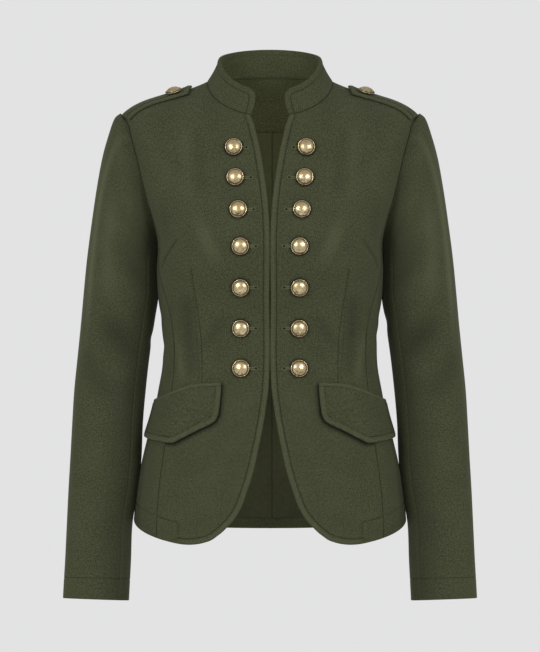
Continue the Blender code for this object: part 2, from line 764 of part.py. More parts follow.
def button(name, place, normal, radius, stuff, droop=0.0):
    """A domed shank button, turned about its own axis, seated on the cloth at place."""
    axis, seat, rise = button_stand(normal, radius, droop)
    side_way = unit(np.cross(axis, np.array([0.0, 0.0, 1.0])))
    up_way = np.cross(side_way, axis)
    points, faces = [place + axis * seat], []
    for row, (out, up) in enumerate(BUTTON_OUTLINE):
        height = seat + up * radius + (rise if row else 0.0)
        for i in range(BUTTON_SIDES):
            a = 2 * math.pi * i / BUTTON_SIDES
            ring = side_way * math.cos(a) + up_way * math.sin(a)
            points.append(place + ring * out * radius + axis * height)
    points.append(place + axis * (seat + rise + BUTTON_CROWN * radius))
    last = len(points) - 1
    for i in range(BUTTON_SIDES):
        j = (i + 1) % BUTTON_SIDES
        faces.append([0, 1 + j, 1 + i])
        for ring in range(len(BUTTON_OUTLINE) - 1):
            low, high = 1 + ring * BUTTON_SIDES, 1 + (ring + 1) * BUTTON_SIDES
            faces.append([low + i, low + j, high + j, high + i])
        top = 1 + (len(BUTTON_OUTLINE) - 1) * BUTTON_SIDES
        faces.append([top + i, top + j, last])
    return add_object(name, points, faces, stuff)


def buttons(stuff):
    for row, (height, across_x) in enumerate(zip(BUTTONS["height"], BUTTONS["from_centre"])):
        low, high = HEM, NECK
        for _ in range(40):
            side = (low + high) / 2
            u = u_at_x(side, lambda z: across_x)
            low, high = (side, high) if torso(u, side)[2] < height else (low, side)
        place, normal = torso(u, side), torso_normal(u, side)
        left, right = f"button_left_{row + 1}", f"button_right_{row + 1}"
        button(left, place, normal, BUTTON_RADIUS, stuff, BUTTON_DROOP)
        button(right, mirrored(place), mirrored(normal), BUTTON_RADIUS, stuff, BUTTON_DROOP)
    share = (STRAP["from_x"] - STRAP["button_x"]) / (STRAP["from_x"] - STRAP["tip_x"])
    point, normal = strap_point(np.array(share), np.array(STRAP["button_share"]))
    place = point + normal * (strap_lift(share) + STRAP_CLOTH)
    button("epaulette_button_left", place, normal, STRAP_BUTTON_RADIUS, stuff)
    button("epaulette_button_right", mirrored(place), mirrored(normal), STRAP_BUTTON_RADIUS, stuff)


def build():
    for old in list(bpy.data.objects):
        bpy.data.objects.remove(old)
    cloth = material("olive_wool", OLIVE, 0.85)
    lining_cloth = material("olive_lining", DARK_OLIVE, 0.55)
    brass = material("antique_brass", BRASS, 0.3, 1.0)
    front_panel(cloth)
    side_panel(cloth)
    back_panel(cloth)
    collar(cloth)
    sleeve(cloth)
    flap(cloth)
    welt(cloth)
    strap(cloth)
    facing(cloth)
    lining(lining_cloth)
    buttons(brass)


build()
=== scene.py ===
"""Looks of the fitted military-style blazer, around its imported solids.

Metres, +Z up, the front faces -Y. Each cloth piece is a thin shell on the same torso, collar or
sleeve surface as its solid, on a finer grid, with rolled seams, stitched edges, darts and creases.
"""

import math

import bpy
import numpy as np
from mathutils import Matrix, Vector


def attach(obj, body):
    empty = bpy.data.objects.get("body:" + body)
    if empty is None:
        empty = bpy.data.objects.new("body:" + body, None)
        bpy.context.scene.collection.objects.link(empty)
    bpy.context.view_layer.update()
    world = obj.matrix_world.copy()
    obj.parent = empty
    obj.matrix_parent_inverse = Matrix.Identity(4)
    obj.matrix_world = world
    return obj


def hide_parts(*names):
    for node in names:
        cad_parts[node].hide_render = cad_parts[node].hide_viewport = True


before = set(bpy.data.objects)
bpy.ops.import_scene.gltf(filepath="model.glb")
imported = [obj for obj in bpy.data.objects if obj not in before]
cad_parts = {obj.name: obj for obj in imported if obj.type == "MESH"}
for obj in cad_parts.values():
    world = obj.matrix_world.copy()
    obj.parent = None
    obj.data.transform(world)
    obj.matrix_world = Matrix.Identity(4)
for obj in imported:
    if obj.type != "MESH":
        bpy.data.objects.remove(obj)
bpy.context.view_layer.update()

MM = 0.001
CLOTH = 2.0 * MM
COLLAR_CLOTH = 2.4 * MM
FLAP_CLOTH = 2.6 * MM
WELT_CLOTH = 1.8 * MM
STRAP_CLOTH = 2.4 * MM
FACING_CLOTH = 1.2 * MM
LINING_CLOTH = 0.9 * MM
SEAM_GAP = 0.06 * MM
ARMHOLE_GAP = 0.25 * MM
BUTTON_SEAT = 0.5 * MM

# How often a search halves its interval.
HALVINGS = 36

HEM = -554 * MM
UNDERARM = -205 * MM
ARMHOLE_FLOOR = -213 * MM
SHOULDER_POINT = -43 * MM
NECK = 0.0
SIDE = 0.5
CENTRE_BACK = 1.0


def table(columns, *rows):
    """Rows of millimetres as named arrays in metres. Columns named power or share stay plain ratios."""
    names = columns.split()
    values = np.array(rows, float).T
    return {
        name: column * (1.0 if name.endswith(("power", "share")) else MM)
        for name, column in zip(names, values)
    }


# The torso, armhole, seams, front edge, collar, sleeve, flap and strap are the solids' own, but for
# the sleeves' inner side, which hangs closer to the body.
TORSO = table(
    "side half_width chest_width front_depth back_depth front back round_power fall_power",
    (-586, 175.5, 175.5, 130, 121, -620, -609, 2.3, 1.2),
    (-556, 172.8, 172.8, 128, 119, -586, -579, 2.3, 1.2),
    (-525, 170.3, 170.3, 126, 117, -551, -543, 2.3, 1.25),
    (-490, 165.0, 165.0, 122, 113, -510, -504, 2.3, 1.3),
    (-455, 156.8, 156.8, 117, 107, -469, -464, 2.3, 1.3),
    (-420, 147.4, 147.4, 111, 100, -429, -426, 2.3, 1.4),
    (-390, 141.5, 141.5, 106, 92, -396, -395, 2.3, 1.5),
    (-360, 136.4, 136.4, 103, 85, -363, -362, 2.3, 1.5),
    (-334, 135.6, 135.6, 102, 82, -335, -335, 2.3, 1.5),
    (-300, 138.6, 138.6, 105, 84, -301, -301, 2.3, 1.5),
    (-270, 142.2, 142.2, 112, 90, -271, -271, 2.3, 1.5),
    (-240, 143.6, 143.6, 121, 97, -242, -241, 2.3, 1.5),
    (-205, 142.8, 142.8, 127, 103, -210, -206, 2.3, 1.5),
    (-175, 151.0, 151.0, 126, 107, -186, -172, 2.3, 1.45),
    (-150, 160.0, 160.0, 121, 109, -167, -142, 2.3, 1.4),
    (-125, 168.0, 168.0, 115, 109, -149, -113, 2.25, 1.4),
    (-100, 175.0, 174.5, 108, 107, -131, -85, 2.2, 1.4),
    (-75, 180.0, 179.0, 101, 103, -114, -59, 2.2, 1.4),
    (-58, 183.5, 180.5, 97, 100, -103, -42, 2.2, 1.45),
    (-43, 185.0, 177.5, 93, 97, -93, -30, 2.2, 1.5),
    (-36, 177.0, 171.5, 91, 95, -89, -25, 2.2, 1.5),
    (-26, 157.0, 155.0, 87, 90, -80, -15, 2.15, 1.5),
    (-17.5, 130.0, 130.0, 81, 82, -70, -5, 2.1, 1.45),
    (-8, 100.0, 100.0, 74, 73, -59, 5, 2.05, 1.3),
    (0, 80.0, 80.0, 69, 65, -50, 14, 2.0, 1.05),
    (8, 70.0, 70.0, 66, 60, -44, 20, 2.0, 1.05),
)
SHOULDER_TURN = 0.05
ARMHOLE = table(
    "side front back",
    (-205, 20, 25),
    (-179, 37, 43),
    (-154, 43, 50),
    (-131, 44, 51),
    (-110, 42, 49),
    (-91, 39, 45),
    (-74, 34, 39),
    (-60, 27, 31),
    (-49, 17, 19),
    (-43, 0, 0),
)
SIDE_SEAMS = table(
    "side front back",
    (-586, 86, 79),
    (-556, 84, 77),
    (-455, 73, 64),
    (-390, 61, 52),
    (-340, 56, 46),
    (-300, 56, 45),
    (-265, 50, 40),
    (-235, 36, 33),
    (-205, 20, 25),
)
FRONT_EDGE = table(
    "height half_gap",
    (-600, 118),
    (-580, 104),
    (-578.3, 96),
    (-576.6, 88),
    (-573.5, 77),
    (-565.8, 64),
    (-555.6, 52.5),
    (-543, 42),
    (-508, 26.7),
    (-454, 12.8),
    (-407, 4.4),
    (-388, 1.9),
    (-367, 0.7),
    (-275, 0.7),
    (-184, 0.8),
    (-157, 2.6),
    (-125, 6.8),
    (-92, 12.4),
    (-75, 16.1),
    (-58, 20.3),
    (-49, 23.4),
    (-40, 25.0),
)
# The rounding of each front's lowest point, where the cutaway meets the hem.
CORNER = {"x": 99.3 * MM, "z": -579 * MM, "reach": 16 * MM, "slope": 0.165, "height": 12 * MM}

COLLAR_TOP = {
    "half_width": 64 * MM,
    "front_depth": 59 * MM,
    "back_depth": 57 * MM,
    "side": 31 * MM,
    "front": -17 * MM,
    "back": 47.5 * MM,
    "fall_power": 1.05,
    "belly": 1.5 * MM,
}
COLLAR_END = {
    "rise": np.array([0.0, 0.3, 0.6, 0.8, 0.93, 1.0]),
    "half_gap": np.array([23.6, 20.6, 18.8, 18.9, 21.0, 25.5]) * MM,
}
SLEEVE = table(
    "outer_x outer_z inner_x inner_z middle_y half_depth tilt",
    (190.0, -40, 142.8, -215.5, 3, 48.5, 0),
    (197.0, -46, 142.3, -218, 3, 52, 0),
    (203.8, -64, 141.8, -221, 3, 54.5, 0),
    (212.8, -96, 142.4, -225, 4, 57, 0),
    (220.5, -138, 142.0, -230, 5, 59, 0),
    (227.5, -186, 141.6, -238, 6, 60, 0),
    (232.8, -227, 141.4, -251, 7, 59.5, 0),
    (236.8, -267, 141.6, -270, 8, 57.5, 0),
    (240.6, -307, 147.4, -306, 10, 54, 0),
    (244.8, -349, 153.4, -348, 9, 50.5, 0),
    (248.8, -391, 158.0, -390, 6, 48, 0.5),
    (251.0, -433, 161.4, -432, 1, 46, 1),
    (252.8, -475, 162.8, -475, -5, 44, 2),
    (254.6, -515, 166.2, -515, -12, 42, 3),
    (256.0, -557, 173.4, -558, -20, 40, 4),
    (257.4, -602, 174.8, -604, -29, 38.2, 4),
    (258.6, -630, 175.9, -632, -35, 37.4, 4),
    (259.4, -651, 176.8, -654, -39, 37, 4),
)
SLEEVE_ROUND = 2.25
SLEEVE_TURN = 1.3 * MM
SLEEVE_SETTLE = 5
UNDERARM_REACH = 3.2
LOOP_POINTS = 24
FRONT_LOOP = 9
BACK_LOOP = 15
ARMHOLE_CROWDING = 1.5
SLEEVE_SEAM_FRONT = 9
SLEEVE_SEAM_BACK = 17
LOOP_STEP = 12 * MM
BUST = {"x": 74 * MM, "z": -205 * MM, "reach": 52 * MM, "fullness": 9 * MM}
BUTTONS = table(
    "height from_centre eye",
    (-90, 44.6, 29.0),
    (-128, 42.4, 23.4),
    (-168, 38.6, 19.7),
    (-213, 35.9, 17.2),
    (-263, 35.8, 17.2),
    (-313, 35.7, 17.2),
    (-362, 35.6, 17.2),
)
BUTTON_RADIUS = 10.4 * MM
STRAP_BUTTON_RADIUS = 10.5 * MM
FLAP = table(
    "round_share top bottom",
    (0.0, -384.3, -419),
    (0.025, -384.4, -427),
    (0.07, -384.6, -431.5),
    (0.17, -385.2, -438.5),
    (0.30, -387.5, -448),
    (0.405, -391.3, -455.3),
    (0.47, -393.8, -455.2),
    (0.62, -399.5, -453.6),
    (0.80, -404.5, -452),
    (0.96, -407.4, -450.6),
    (1.0, -408.0, -447.5),
)
FLAP_FRONT_X = 59.5 * MM
FLAP_SIDE_DEPTH = 12 * MM
FLAP_LIFT = (0.7 * MM, 2.4 * MM)
FLAP_FRONT_SLANT = 3.0 * MM
WELT_ROWS = np.array([0.15, 0.35, 0.7, 1.3, 2.2, 3.1, 3.9, 4.3, 4.6]) * MM
WELT_ROUND = 0.85 * MM
FLAP_WIDTH = 104 * MM
WELT_LIFT = 1.6 * MM
STRAP = {
    "from_x": 184.3 * MM,
    "tip_x": 98.0 * MM,
    "point": 9.0 * MM,
    "front_depth": 24.0 * MM,
    "back_depth": 15.0 * MM,
    "lift": 0.7 * MM,
    "tip_lift": 1.6 * MM,
    "button_x": 120.0 * MM,
    "button_share": -0.27,
    "taper": 0.12,
}
STRAP_LENGTH = 90 * MM
STRAP_WIDTH = 40 * MM
# How far the strap's sewn end runs on into the armhole seam.
STRAP_TUCK = 2.6 * MM
STRAP_CELL = 2.0 * MM
FACING = {
    "from_u": 0.56,
    "shoulder": -16 * MM,
    "drop": -70 * MM,
    "top": -1.5 * MM,
    "under": 0.9 * MM,
    "columns": 70,
    "rows": 26,
}
LINING_HEM = 13 * MM
LINING_TOP = -72 * MM
LINING_UNDER = 1.5 * MM
LINING_PLEAT = {"fold_x": 2.5 * MM, "width": 24 * MM, "depth": 3.0 * MM}
LINING_FROM_SIDE = 0.25
LINING_CELL = 4 * MM
# How far the lining's waves drift sideways and over what height, and how far down they fade in.
LINING_DRIFT = (10 * MM, 120 * MM)
LINING_FADE = 0.2
# Upright waves of the lining: place across, half the width and depth.
LINING_WAVES = ((-64, 9, 0.6), (-34, 7, 0.48), (38, 8, 0.54), (70, 10, 0.66), (96, 8, 0.42), (-98, 9, 0.48))

# Grid lines by a stitched edge, by a seam and on either side of a dart, from the line itself.
CELL = 2.95 * MM
EDGE_LINES = np.array([0, 0.35, 0.8, 1.4, 2.3, 3.6, 5.2, 6.4, 7.0, 7.5, 8.0, 8.6, 9.8]) * MM
PLAIN_EDGE_LINES = np.array([0, 0.35, 0.8, 1.4, 2.6]) * MM
SEAM_LINES = np.array([0, 0.4, 0.9, 1.6, 2.6]) * MM
DART_LINES = np.array([-3.6, -2.2, -1.2, -0.5, 0, 0.5, 1.2, 2.2, 3.6]) * MM

# Relief of the cloth: how a seam rolls in, how an edge rounds off and puffs up before its stitches.
SEAM_ROLL = 0.60 * MM
SEAM_WIDTH = 0.95 * MM
EDGE_ROUND = 1.0 * MM
EDGE_PUFF = 0.75 * MM
STITCH_FROM_EDGE = 7.5 * MM
STITCH_SINK = 0.55 * MM
STITCH_WIDTH = 0.7 * MM
HEM_BAND = 26 * MM
CUFF_BAND = 25 * MM
HEM_CORNER_X = 113 * MM
# Grooves as depth and half width in millimetres.
BAND_GROOVE = (0.45, 0.9)
FRONT_BAND_GROOVE = (0.7, 1.0)
CUFF_GROOVE = (0.5, 0.9)
WAIST_DART_GROOVE = (0.45, 0.9)
WAIST_FOLD_GROOVE = (0.40, 1.2)
SIDE_DART_GROOVE = (0.95, 1.5)
BUTTON_DIP = (0.45, 8.5)
STRAP_RIDGE = (0.25, 1.6)
FACING_TURN = (0.5, 3.0)
# How far the backs run up under the collar, and how far they pass the centre plane.
NECK_TUCK = 1.2 * MM
BACK_LAP = 0.2 * MM
# How far the painted shadow under a button and under a flap reaches out.
BUTTON_SHADOW_REACH = 2.2 * MM
FLAP_SHADOW_REACH = 3.6 * MM
# Darkness of the painted shade in seams, along stitches and on the inner arm, and the lightness, place and
# width of the painted highlight on the raised band by a stitched edge.
SEAM_PAINTED_SHADE = 0.28
STITCH_PAINTED_SHADE = 0.55
INNER_ARM_PAINTED_SHADE = 0.42
EDGE_HIGHLIGHT = 0.22
EDGE_BAND_PLACE = 3.0 * MM
EDGE_HIGHLIGHT_WIDTH = 2.9 * MM
# From one stitch to the next, a stitch's own length, and half its thickness.
STITCH_PITCH = 3.7 * MM
STITCH_LENGTH = 2.3 * MM
THREAD = 0.40 * MM
THREAD_SINK = 0.7 * STITCH_SINK

# The waist dart's stitched line and its fold beside it, and the curved dart from the side seam.
WAIST_DART = table(
    "x z", (96.8, -238), (93.3, -265.5), (88.2, -298), (84.7, -328), (83.9, -362), (83.9, -381)
)
WAIST_FOLD = table(
    "x z", (97.6, -241), (95.6, -262), (92.5, -293), (89.9, -336), (87.9, -362), (87.3, -381)
)
SIDE_DART = table("x z", (116.1, -204), (124.0, -214.5), (130.0, -224.5), (135.4, -237.5))
# A line of the front's grid runs down this guide, through the waist dart, from neck to hem.
DART_GUIDE = table(
    "z x",
    (-600, 142),
    (-580, 138),
    (-560, 126),
    (-520, 106),
    (-450, 91),
    (-381, 84),
    (-362, 83.9),
    (-328, 84.7),
    (-298, 88.2),
    (-265.5, 93.3),
    (-238, 96.8),
    (-190, 101),
    (-100, 106),
    (-50, 100),
    (20, 60),
)

# Soft creases on the fronts and backs: ends as distance from the centre plane and height, half the
# width, depth (a ridge where it is negative), and the side of the wearer it is on (0: both).
FRONT_CREASES = (
    ((92, -62), (70, -150), 11, 1.6, 0),
    ((112, -66), (96, -160), 13, -1.3, 0),
    ((136, -186), (112, -232), 9, 1.1, 1),
    ((138, -180), (116, -226), 10, 1.3, -1),
    ((60, -262), (92, -250), 8, 1.3, 1),
    ((48, -322), (80, -306), 8, 1.0, -1),
    ((50, -330), (84, -322), 9, 0.8, 1),
    ((52, -348), (78, -352), 7, 0.7, -1),
    ((20, -300), (48, -290), 8, 0.5, 1),
    ((96, -330), (120, -318), 8, 1.6, 1),
    ((94, -342), (121, -336), 7, 0.9, -1),
    ((96, -296), (122, -284), 8, 0.8, 0),
    ((36, -420), (60, -480), 16, 0.9, 1),
    ((40, -430), (66, -500), 18, 0.8, -1),
    ((96, -470), (104, -550), 16, 0.8, 0),
)
# Painted shade in the soft hollows of the fronts, and painted light where the share is negative, with the
# share of darkness in place of a depth.
FRONT_PAINTED_SHADING = (
    ((104, -262), (97, -376), 9, 0.40, 0),
    ((52, -292), (88, -344), 9, 0.24, 0),
    ((112, -300), (122, -372), 6, 0.15, 0),
    ((40, -330), (74, -352), 6, 0.12, 1),
    ((70, -388), (100, -392), 5, 0.12, 0),
    ((92, -56), (82, -156), 8, 0.20, 0),
    ((60, -440), (92, -500), 13, 0.12, 0),
    ((132, -150), (128, -215), 8, 0.14, 0),
    ((66, -206), (84, -214), 28, -0.26, 0),
    ((108, -60), (97, -160), 9, -0.13, 0),
    ((120, -308), (107, -380), 6, -0.32, 0),
)
BACK_CREASES = (
    ((128, -190), (96, -240), 12, 1.6, 1),
    ((130, -184), (100, -246), 13, 1.3, -1),
    ((108, -210), (60, -262), 14, -0.9, 0),
    ((100, -322), (36, -306), 9, 1.5, 1),
    ((104, -316), (44, -324), 8, 1.2, -1),
    ((98, -344), (30, -352), 9, 1.3, 1),
    ((96, -340), (38, -336), 10, 1.1, -1),
    ((70, -366), (20, -372), 8, 0.8, 0),
    ((60, -440), (66, -560), 20, 1.0, 1),
    ((50, -430), (44, -560), 22, 0.9, -1),
    ((120, -90), (70, -72), 14, 0.8, 0),
)
# Creases of a side panel, with shares of its width in place of distances from the centre plane.
SIDE_CREASES = (
    ((0.3, -318), (0.9, -330), 8, 1.1, 1),
    ((0.1, -340), (0.8, -332), 8, 1.2, -1),
    ((0.2, -296), (0.9, -300), 9, 0.8, 0),
    ((0.4, -430), (0.5, -540), 12, 0.7, 0),
)
# Creases of a sleeve, with loop positions in place of distances from the centre plane.
SLEEVE_CREASES = (
    ((3.5, -300), (8.0, -352), 17, 3.2, 0),
    ((4.5, -338), (8.5, -318), 14, 2.2, 0),
    ((15.0, -300), (20.0, -338), 17, 3.0, 0),
    ((5.0, -212), (9.0, -246), 15, 2.2, 0),
    ((16.0, -246), (20.0, -205), 18, 2.6, 0),
    ((2.2, -90), (2.5, -330), 9, -1.6, 0),
    ((4.2, -130), (4.6, -290), 13, 0.9, 0),
    ((6.2, -296), (9.0, -282), 7, 1.0, 1),
    ((5.6, -372), (8.8, -356), 8, 0.9, -1),
    ((6.0, -330), (9.2, -338), 6, 0.8, 1),
    ((10.0, -300), (15.0, -312), 9, 1.5, 1),
    ((10.2, -330), (14.6, -322), 8, 1.3, -1),
    ((16.4, -356), (20.6, -372), 10, 1.4, 1),
    ((16.0, -278), (20.4, -292), 9, 1.2, -1),
    ((3.0, -430), (5.4, -560), 14, 0.7, 0),
    ((6.4, -420), (7.0, -600), 8, -0.6, 0),
    ((1.6, -62), (3.4, -118), 8, 0.6, 0),
)
# Painted shade on the sleeves, and painted light where the share is negative, with loop positions as in the
# sleeve's creases and the share of darkness in place of a depth.
SLEEVE_PAINTED_SHADING = (
    ((4.4, -296), (8.2, -350), 15, 0.42, 0),
    ((2.6, -336), (6.4, -402), 15, 0.34, 0),
    ((5.2, -196), (8.0, -262), 12, 0.28, 0),
    ((1.2, -120), (1.4, -300), 7, 0.20, 0),
    ((2.5, -66), (2.8, -322), 5, -0.55, 0),
    ((4.0, -150), (5.6, -286), 12, -0.22, 0),
    ((6.2, -90), (7.4, -150), 12, 0.16, 0),
    ((6.4, -420), (6.8, -600), 10, 0.14, 0),
)
# How far the painted shade of the inner arm reaches out.
INNER_ARM_SHADE_REACH = 17 * MM
CREASE_END = 2.2
# Width that a side panel's creases take as one, and the step between two loop positions of a sleeve.
CREASE_SPAN = 0.1
SLEEVE_STEP = 13.0 * MM
# Rows of the sleeve head's turned seam, as shares of the way from the seam out to the first ring.
TURN_SHARES = (0.12, 0.3, 0.52, 0.76)
TURN_SWELL = 0.4
# How far a sleeve's grid runs past its seams for its normals, and the rows over which creases set in.
SLEEVE_PAST = 0.2
SLEEVE_EASE = 6
# Height over which the top of a side panel bends into the armhole.
PANEL_BEND = 60 * MM
MIRROR = np.array([-1.0, 1.0, 1.0])


def smooth(keys, values, at):
    """Cubic curve through a table's points, with slopes from their neighbours."""
    slopes = np.gradient(values, keys)
    at = np.asarray(at, float)
    i = np.clip(np.searchsorted(keys, at) - 1, 0, len(keys) - 2)
    width = keys[i + 1] - keys[i]
    t = np.clip((at - keys[i]) / width, 0.0, 1.0)
    return (
        (2 * t**3 - 3 * t**2 + 1) * values[i]
        + (t**3 - 2 * t**2 + t) * width * slopes[i]
        + (3 * t**2 - 2 * t**3) * values[i + 1]
        + (t**3 - t**2) * width * slopes[i + 1]
    )


def of_torso(name, side):
    return smooth(TORSO["side"], TORSO[name], side)


def signed_power(base, power):
    return np.sign(base) * np.abs(base) ** power


def torso(u, side):
    """The wearer's left half of the torso: u runs from centre front (0) past the side to the back (1)."""
    u, side = np.broadcast_arrays(np.asarray(u, float), np.asarray(side, float))
    turn = (u - SIDE) * math.pi
    power = 2.0 / of_torso("round_power", side)
    share = signed_power(np.sin(turn), power)
    to_front = share < 0
    at_side = np.exp(-(((u - SIDE) / SHOULDER_TURN) ** 2))
    chest_width = of_torso("chest_width", side)
    width = chest_width + (of_torso("half_width", side) - chest_width) * at_side
    x = width * signed_power(np.cos(turn), power)
    y = share * np.where(to_front, of_torso("front_depth", side), of_torso("back_depth", side))
    end = np.where(to_front, of_torso("front", side), of_torso("back", side))
    z = side + (end - side) * np.abs(share) ** of_torso("fall_power", side)
    swell = np.exp(-((np.abs(x) - BUST["x"]) ** 2 + (z - BUST["z"]) ** 2) / (2 * BUST["reach"] ** 2))
    y = y - np.where(to_front, BUST["fullness"] * swell * np.minimum(1.0, 2.5 * np.abs(share)), 0.0)
    return np.stack([x, y, z], axis=-1)


def unit(vectors):
    return vectors / np.maximum(np.linalg.norm(vectors, axis=-1, keepdims=True), 1e-12)


def torso_normal(u, side):
    step_u, step_side = 2e-3, 1.0 * MM
    along = torso(np.add(u, step_u), side) - torso(np.subtract(u, step_u), side)
    up = torso(u, np.add(side, step_side)) - torso(u, np.subtract(side, step_side))
    return unit(np.cross(along, up))


def u_at_depth(side, depth, back=False):
    """Where a ring passes this far in front of, or behind, the side line."""
    reach = of_torso("back_depth" if back else "front_depth", side)
    share = np.clip(np.asarray(depth) / reach, 0.0, 1.0) ** (of_torso("round_power", side) / 2)
    turn = np.arcsin(share) / math.pi
    return SIDE + turn if back else SIDE - turn


def u_at_x(side, wanted):
    """Where a ring's front half is this far from the centre plane. wanted(z) gives the distance."""
    low = np.zeros_like(np.asarray(side, float))
    high = np.full_like(low, SIDE)
    for _ in range(HALVINGS):
        middle = (low + high) / 2
        point = torso(middle, side)
        short = point[..., 0] < wanted(point[..., 2])
        low = np.where(short, middle, low)
        high = np.where(short, high, middle)
    return (low + high) / 2


def front_gap(z):
    return smooth(FRONT_EDGE["height"], FRONT_EDGE["half_gap"], z)


def armhole_side(k):
    """Ring heights down the armhole, closer together at the shoulder point, where it turns over."""
    share = (np.asarray(k) / FRONT_LOOP) ** ARMHOLE_CROWDING
    return SHOULDER_POINT + (UNDERARM - SHOULDER_POINT) * share


def side_panel_edge(side, back):
    """u of the seam on the front or the back of the side panel, and of the armhole above it."""
    name = "back" if back else "front"
    seam = smooth(SIDE_SEAMS["side"], SIDE_SEAMS[name], np.minimum(side, UNDERARM))
    hole = smooth(ARMHOLE["side"], ARMHOLE[name], np.clip(side, UNDERARM, SHOULDER_POINT))
    depth = np.where(side <= UNDERARM, seam, hole)
    depth = np.where(side >= SHOULDER_POINT, 0.0, depth)
    return u_at_depth(side, depth, back)


def armhole_floor(u):
    """Height of the armhole's lowest stretch, across the top of the side panel."""
    low, high = side_panel_edge(UNDERARM, False), side_panel_edge(UNDERARM, True)
    from_middle = 2 * (u - low) / (high - low) - 1
    return UNDERARM + (ARMHOLE_FLOOR - UNDERARM) * (1 - from_middle**2)


def armhole_loop(k):
    """(points, normals) round the armhole: 0 at the shoulder point, then front, underarm and back."""
    k = np.asarray(k, float) % LOOP_POINTS
    low, high = side_panel_edge(UNDERARM, False), side_panel_edge(UNDERARM, True)
    under = low + (high - low) * np.clip((k - FRONT_LOOP) / (BACK_LOOP - FRONT_LOOP), 0, 1)
    side = armhole_side(np.minimum(np.minimum(k, LOOP_POINTS - k), FRONT_LOOP))
    u = np.where(k < FRONT_LOOP, side_panel_edge(side, False), side_panel_edge(side, True))
    is_floor = (k >= FRONT_LOOP) & (k <= BACK_LOOP)
    u = np.where(is_floor, under, u)
    side = np.where(is_floor, armhole_floor(under), side)
    return torso(u, side), torso_normal(u, side)


def crease_relief(creases, hand, across, height, scale=1.0):
    """How far the listed creases sink the surface at each point."""
    sunk = np.zeros(np.broadcast(across, height).shape)
    for start, end, half_width, depth, on in creases:
        if on not in (0, hand):
            continue
        first = np.array([start[0] * scale, start[1] * MM])
        line = np.array([end[0] * scale, end[1] * MM]) - first
        length = np.linalg.norm(line)
        offset_a, offset_z = across - first[0], height - first[1]
        along = (offset_a * line[0] + offset_z * line[1]) / length**2
        beside = (offset_a * line[1] - offset_z * line[0]) / length
        ends = np.exp(-((CREASE_END * (along - 0.5)) ** 4))
        sunk = sunk + depth * MM * ends * np.exp(-((beside / (half_width * MM)) ** 2))
    return sunk


def from_line(points, line):
    """Distance of each point from a line of points."""
    flat = points.reshape(-1, points.shape[-1])
    start, run = line[:-1], np.diff(line, axis=0)
    square = np.maximum((run**2).sum(-1), 1e-18)
    best = np.full(len(flat), 1.0)
    for first, step, size in zip(start, run, square):
        offset = flat - first
        share = np.clip(offset @ step / size, 0, 1)
        near = ((offset - share[:, None] * step) ** 2).sum(-1)
        best = np.minimum(best, near)
    return np.sqrt(best).reshape(points.shape[:-1])


def rounded(distance, radius):
    """How far a rounded edge drops away at this distance from the edge."""
    share = np.clip(1 - distance / radius, 0, 1)
    return radius * (1 - np.sqrt(1 - share**2))


def puffed(distance, stitched=1.0):
    """Raised band between an edge and its row of stitches, and the groove that the stitches sink."""
    share = np.clip(distance / STITCH_FROM_EDGE, 0, 1)
    band = EDGE_PUFF * np.sin(math.pi * share) ** 0.8
    groove = STITCH_SINK * np.exp(-(((distance - STITCH_FROM_EDGE) / STITCH_WIDTH) ** 2))
    return (band - groove) * stitched


def rolled(distance):
    return SEAM_ROLL * np.exp(-((distance / SEAM_WIDTH) ** 2))


def groove(distance, depth, width):
    return depth * MM * np.exp(-((distance / (width * MM)) ** 2))


def spaced(length, lines_low, lines_high, guides=(), cell=CELL):
    """Positions across a piece for each row: fine lines by both borders and by each guide, even between.

    length and guides hold one value for each row.
    """
    length = np.asarray(length, float)
    blocks = [np.repeat(lines_low[None], len(length), axis=0)]
    stops = [(guide[:, None] + DART_LINES[None]) for guide in guides]
    stops.append(length[:, None] - lines_high[::-1][None])
    for stop in stops:
        last = blocks[-1][:, -1]
        gap = stop[:, 0] - last
        count = max(2, int(math.ceil(gap.max() / cell)))
        share = np.linspace(0, 1, count + 1)[1:-1]
        blocks += [last[:, None] + gap[:, None] * share, stop]
    return np.concatenate(blocks, axis=1)


def spaced_line(length, lines_low, lines_high, guides=(), cell=CELL):
    """Positions across a single row."""
    guides = [np.array([guide]) for guide in guides]
    return spaced(np.array([length]), lines_low, lines_high, guides, cell)[0]


def ring_runs(low, high, side, samples=240):
    """u and the distance along each ring from its low end, sampled between its two ends."""
    share = np.linspace(0, 1, samples)
    u = low[:, None] + (high - low)[:, None] * share
    points = torso(u, side[:, None] + 0 * u)
    steps = np.linalg.norm(np.diff(points, axis=1), axis=-1)
    return u, np.concatenate([np.zeros((len(side), 1)), np.cumsum(steps, axis=1)], axis=1)


def u_at_runs(u, run, positions):
    return np.array([np.interp(at, r, v) for at, r, v in zip(positions, run, u)])


def even_rows(low, high, weight=None, cell=CELL, fine=4001):
    """Ring heights from low to high, in even steps of the ring height and the weight line together."""
    side = np.linspace(low, high, fine)
    step = np.diff(side)
    if weight is not None:
        step = np.maximum(step, np.linalg.norm(np.diff(weight(side), axis=0), axis=-1))
    run = np.concatenate([[0], np.cumsum(step)])
    return np.interp(np.linspace(0, run[-1], int(run[-1] / cell) + 2), run, side)


def with_lines(side, extra):
    """The ring heights with more of them added, and without any that would lie almost on those."""
    keep = np.abs(side[:, None] - extra[None]).min(axis=1) > 0.35 * CELL
    return np.sort(np.concatenate([side[keep], extra]))


# Meshes.


